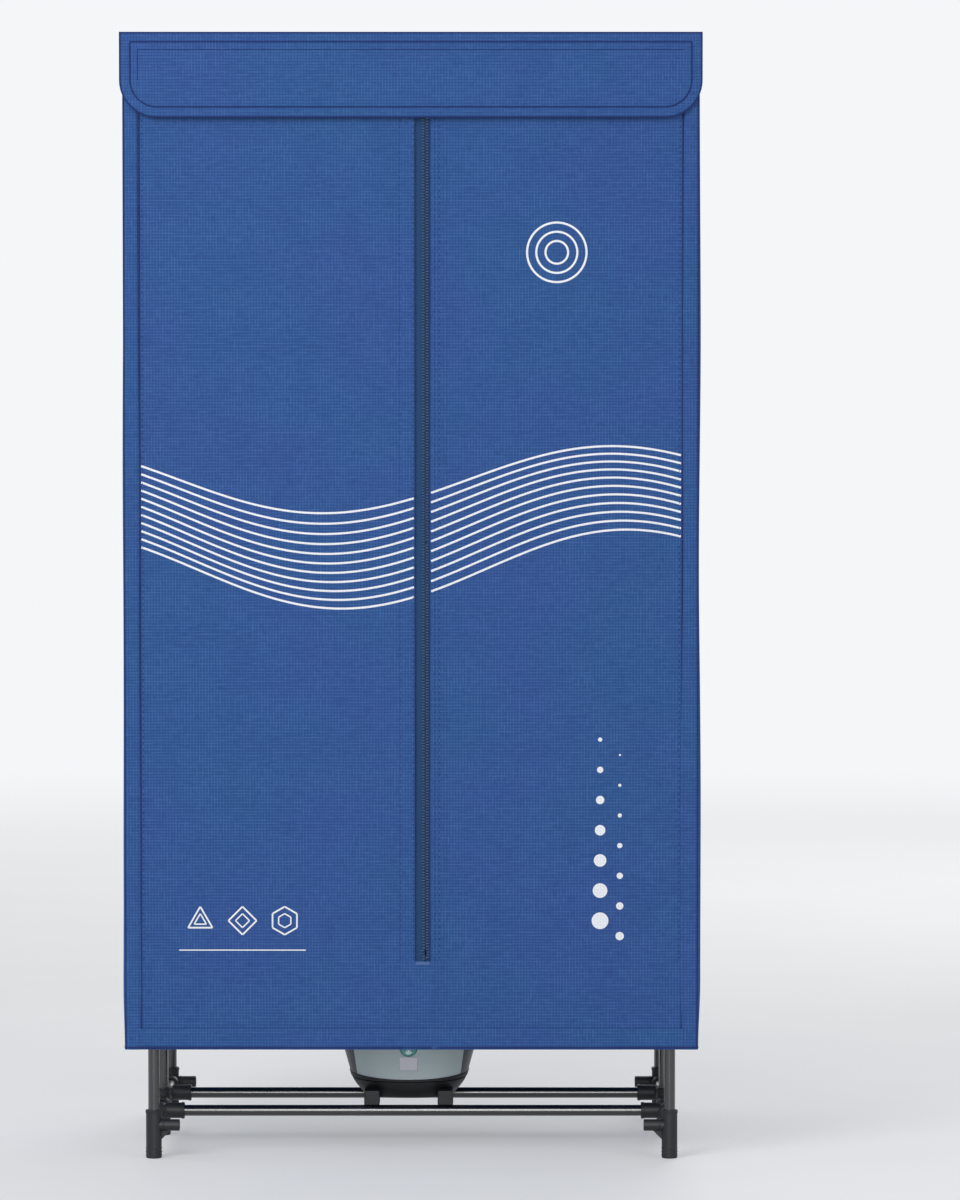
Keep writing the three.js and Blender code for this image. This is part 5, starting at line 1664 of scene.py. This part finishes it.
class MakeHeaterFront(bpy.types.Operator):
    """Make the heater's front plate with its lip, and the window over its display"""

    bl_idname = "dryer.heater_front"
    bl_label = "Heater Front"

    def execute(self, context):
        window, half = centre_of("display_window"), half_of("display_window")
        bm = cloth_grid(spread(-1, 1, 0.02), spread(0, 1, 0.025), plate_outline, lambda *shares: shares)
        open_hole(bm, BUTTON_AT, (BUTTON + 0.5 * MM, BUTTON + 0.5 * MM), True)
        open_hole(bm, window, (half.x + SEAT, half.z + SEAT), False)
        for vert in bm.verts:
            x, _, z = vert.co
            inward = min((z - plate_foot((x - HEATER_X) / PLATE_HALF_FOOT)) / (3 * MM), 1)
            rolled = 0.9 * MM * (1 - max(inward, 0)) ** 2
            vert.co.y = casing_front(x, z) - SEAT - PLATE_THICKNESS + rolled
        satin = {"paint": satin_face, "slot": "face_plastic"}
        moulding("front_plate", bm, PLATE_THICKNESS, "heater_front", **satin)

        trail = [plate_outline(-1, rise) for rise in spread(1, 0, 0.1)]
        trail += [plate_outline(share, 0) for share in spread(-1, 1, 0.05)[1:-1]]
        trail += [plate_outline(1, rise) for rise in spread(0, 1, 0.1)]
        for point in trail:
            point.y = casing_front(point.x, point.z) - SEAT - 0.8 * MM
        bm = bmesh.new()
        rod(bm, trail, 1.1 * MM, 10, Y)
        add_piece("front_plate_lip", bm, satin_face, "face_plastic", BODY)

        def glaze(x, z):
            return Vector((x, casing_front(x, z) - SEAT - PLATE_THICKNESS, z))

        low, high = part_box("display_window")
        bm = cloth_grid(spread(low.x, high.x, 2 * MM), spread(low.z, high.z, 2 * MM), glaze, front_mark)
        glass = {"paint": milky_acrylic, "slot": "window_plastic"}
        moulding("window_lens", bm, 1.6 * MM, "display_window", **glass)
        return {"FINISHED"}


class MakeButton(bpy.types.Operator):
    """Make the power button with its hollow face and its mark"""

    bl_idname = "dryer.button"
    bl_label = "Power Button"

    def execute(self, context):
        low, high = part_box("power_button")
        depth = high.y - low.y
        # The rounded, hollow face, as how far in and how deep it lies, in millimetres.
        dish = ((0.4, 0.4), (1.4, 0), (4, 0.1), (6, 0.7))
        outline = [(0, 0), (BUTTON - 1 * MM, 0), (BUTTON, 1 * MM), (BUTTON, depth - 1.2 * MM)]
        outline += [(BUTTON - inset * MM, depth - drop * MM) for inset, drop in dish]
        outline += [(0, depth - 1.0 * MM)]
        bm = bmesh.new()
        lathe(bm, outline, pointing(Vector((HEATER_X, high.y, BUTTON_AT.z)), -Y), 48)
        add_piece("power_button_cap", bm, polished_button, "button_plastic", "button", ["power_button"])

        face = Vector((HEATER_X, low.y + 0.9 * MM, BUTTON_AT.z))
        angles = spread(radians(35), radians(325), radians(15))
        bm = bmesh.new()
        rod(bm, [face + 3.4 * MM * Vector((sin(a), 0, cos(a))) for a in angles], 0.35 * MM, 8, Y)
        rod(bm, [face + z * Z for z in (1.2 * MM, 4.2 * MM)], 0.35 * MM, 8, Y)
        add_piece("power_button_mark", bm, milky_acrylic, "button_plastic", "button")
        return {"FINISHED"}


class MakeGrille(bpy.types.Operator):
    """Make the outlet grille on top of the heater: a rim, rings, spokes and a hub"""

    bl_idname = "dryer.grille"
    bl_label = "Outlet Grille"

    def execute(self, context):
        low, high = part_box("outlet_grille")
        thick = high.z - low.z
        middle = Vector((HEATER_X, 0, (low.z + high.z) / 2))
        bm = bmesh.new()
        for radius in spread(8 * MM, OUTLET - 8 * MM, 7 * MM):
            hoop(bm, middle, Z, radius, 2.0 * MM, 72)
        for a in turns(8):
            ends = [middle + r * Vector((cos(a), sin(a), 0)) for r in (7 * MM, OUTLET - 3 * MM)]
            rod(bm, ends, 1.4 * MM, 8, Z, False, 0.8)
        inner = OUTLET - 4 * MM
        rim = [(inner, 0), (OUTLET, 0), (OUTLET, thick - 0.6 * MM), (OUTLET - 0.6 * MM, thick)]
        rim += [(OUTLET - 3.2 * MM, thick), (inner, thick - 0.8 * MM), (inner, 0)]
        hub = [(0, 0), (8.5 * MM, 0), (8.5 * MM, thick - 0.5 * MM), (7 * MM, thick), (0, thick)]
        seat = Matrix.Translation((HEATER_X, 0, low.z))
        lathe(bm, rim, seat, 72)
        lathe(bm, hub, seat, 32)
        add_piece("outlet_grille_moulding", bm, moulded_base, "base_plastic", BODY, ["outlet_grille"])
        return {"FINISHED"}


class DressWorks(bpy.types.Operator):
    """Give the heater's inner works, which stay in view, their finishes"""

    bl_idname = "dryer.works"
    bl_label = "Heater Works"

    def execute(self, context):
        for node_name, paint in (
            ("heating_element", rolled_aluminium),
            ("thermal_cutout", galvanised_steel),
            ("fan_motor", galvanised_steel),
            ("fan_rotor", moulded_rotor),
            ("control_board", fibre_board),
            ("power_inlet", moulded_base),
        ):
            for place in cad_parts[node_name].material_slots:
                place.material = material(paint)
        return {"FINISHED"}


# The stage -----------------------------------------------------------------------------------------

CAMERA_PLACE = (0.0975, -8.13, 1.1906)
CAMERA_PITCH = 2.85  # degrees below level
SENSOR = 36  # width of the camera's sensor, in millimetres
FLOOR_REACH = 45  # half width of the floor
FADE = (1.6, 7.0)  # distances between which the floor fades into the backdrop
FLOOR_LIFT = 0.35  # share of the backdrop seen in the floor at the object, which keeps its shadow
# Each lamp's name, its place, the height that it looks at, its size, and its power as a share of the key's.
# The glint shows only in gloss, as the light line along the tubes.
LAMPS = (
    ("key", (-2.3, -3.1, 2.9), 0.9, 2.4, 1),
    ("tube_glint", (0, -3.4, 1.0), 0.1, 1.5, 0.7),
    ("side_fill", (3.6, -3.4, 1.8), 0.7, 2.4, 0.45),
    ("back_fill", (1.6, 4.2, 2.6), 0.9, 2.8, 0.8),
    ("left_fill", (-4.4, 0.6, 1.9), 0.8, 2.4, 0.35),
)


def seen_ray(tree):
    """1 on rays that see the background straight, in a gloss or through glass, and 0 on the rest."""
    rays = node(tree, "ShaderNodeLightPath").outputs
    seen = {0: rays["Is Camera Ray"], 1: rays["Is Glossy Ray"]}
    seen = {0: node(tree, "ShaderNodeMath", seen, 0, operation="ADD"), 1: rays["Is Transmission Ray"]}
    return node(tree, "ShaderNodeMath", seen, 0, operation="ADD", use_clamp=True)


def studio_floor(tree, shader):
    """Matt studio paint: pale, faintly rolled, with a soft mottle. Far off it takes the backdrop's colour,
    so that no horizon shows, while its shadows stay near the object."""
    look = settings("stage")
    paint = {"Roughness": 0.6, "Specular IOR Level": 0.2}
    tones = (linear("#e6e8ea"), look.floor)
    finish(tree, shader, grain(tree, 0.4, 4), tones, paint, (grain(tree, 3 * MM), 0.05, 0.2))
    where = node(tree, "ShaderNodeTexCoord", output="Object")
    reach = node(tree, "ShaderNodeVectorMath", {0: where}, "Value", operation="LENGTH")
    inputs = {"Value": reach, "From Min": FADE[0], "From Max": FADE[1], "To Min": FLOOR_LIFT}
    away = node(tree, "ShaderNodeMapRange", inputs, "Result", interpolation_type="SMOOTHSTEP")
    share = node(tree, "ShaderNodeMath", {0: away, 1: seen_ray(tree)}, 0, operation="MULTIPLY")
    backdrop = node(tree, "ShaderNodeEmission", {"Color": look.sky}, 0)
    output = tree.nodes["Material Output"].inputs["Surface"]
    lit = output.links[0].from_socket
    tree.links.new(node(tree, "ShaderNodeMixShader", {0: share, 1: lit, 2: backdrop}, 0), output)


def light_area(name, place, target, size, power):
    """A soft lamp that looks at a point."""
    lamp = bpy.data.lights.new(name, "AREA")
    lamp.shape = "DISK"
    lamp.size = size
    lamp.energy = power
    holder = bpy.data.objects.new(name, lamp)
    holder.location = place
    holder.visible_camera = False
    holder.rotation_euler = (Vector(target) - Vector(place)).to_track_quat("-Z", "Y").to_euler()
    bpy.context.scene.collection.objects.link(holder)
    return holder


class SetStage(bpy.types.Operator):
    """Set the floor, the backdrop, the lights and the camera"""

    bl_idname = "dryer.stage"
    bl_label = "Stage"

    def execute(self, context):
        look = settings("stage")
        bm = bmesh.new()
        bmesh.ops.create_grid(bm, x_segments=12, y_segments=12, size=FLOOR_REACH)
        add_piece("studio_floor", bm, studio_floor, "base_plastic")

        world = bpy.data.worlds.new("studio")
        bpy.context.scene.world = world
        world.use_nodes = True
        tree = world.node_tree
        tree.nodes.clear()
        even = node(tree, "ShaderNodeBackground", {"Color": (1, 1, 1, 1), "Strength": look.fill}, 0)
        backdrop = node(tree, "ShaderNodeBackground", {"Color": look.sky, "Strength": 1}, 0)
        both = node(tree, "ShaderNodeMixShader", {0: seen_ray(tree), 1: even, 2: backdrop}, 0)
        node(tree, "ShaderNodeOutputWorld", {"Surface": both})

        for name, place, height, size, share in LAMPS:
            lamp = light_area(name, place, (0, 0, height), size, look.key * share)
            lamp.visible_diffuse = name != "tube_glint"

        lens = bpy.data.cameras.new("camera")
        lens.sensor_width = SENSOR
        lens.lens = look.focal
        lens.clip_end = 100
        camera = bpy.data.objects.new("camera", lens)
        camera.location = CAMERA_PLACE
        camera.rotation_euler = (radians(90 - CAMERA_PITCH), 0, 0)
        bpy.context.scene.collection.objects.link(camera)
        bpy.context.scene.camera = camera
        bpy.context.scene.view_settings.view_transform = "Standard"
        return {"FINISHED"}


# The add-on ----------------------------------------------------------------------------------------

MAKERS = (
    SetStage,
    MakeTubes,
    MakeFeet,
    MakeTopConnectors,
    MakeBrackets,
    MakeHeaterBase,
    MakeHeaterShell,
    MakeHeaterFront,
    MakeButton,
    MakeGrille,
    DressWorks,
    MakeFloorCloth,
    MakeBack,
    MakeSides,
    MakeRoof,
    MakeFront,
    MakeDoors,
    MakeZip,
    MakeSlider,
    MakeFlap,
)


class CabinetPanel(bpy.types.Panel):
    """Lists the cabinet's makers and its settings"""

    bl_idname = "VIEW3D_PT_drying_cabinet"
    bl_label = "Drying Cabinet"
    bl_space_type = "VIEW_3D"
    bl_region_type = "UI"
    bl_category = "Drying Cabinet"

    def draw(self, context):
        column = self.layout.column(align=True)
        for maker in MAKERS:
            column.operator(maker.bl_idname)
        for group in GROUPS:
            box = self.layout.box()
            box.label(text=group.capitalize())
            look = settings(group)
            for name in look.__annotations__:
                box.prop(look, name)


def register():
    for item in (*GROUPS.values(), *MAKERS, CabinetPanel):
        bpy.utils.register_class(item)
    for name, group in GROUPS.items():
        setattr(bpy.types.Scene, "dryer_" + name, PointerProperty(type=group))


def unregister():
    for name in GROUPS:
        delattr(bpy.types.Scene, "dryer_" + name)
    for item in reversed((*GROUPS.values(), *MAKERS, CabinetPanel)):
        bpy.utils.unregister_class(item)


def main():
    register()
    for maker in MAKERS:
        getattr(bpy.ops.dryer, maker.bl_idname.split(".")[1])()


if __name__ == "__main__":
    main()
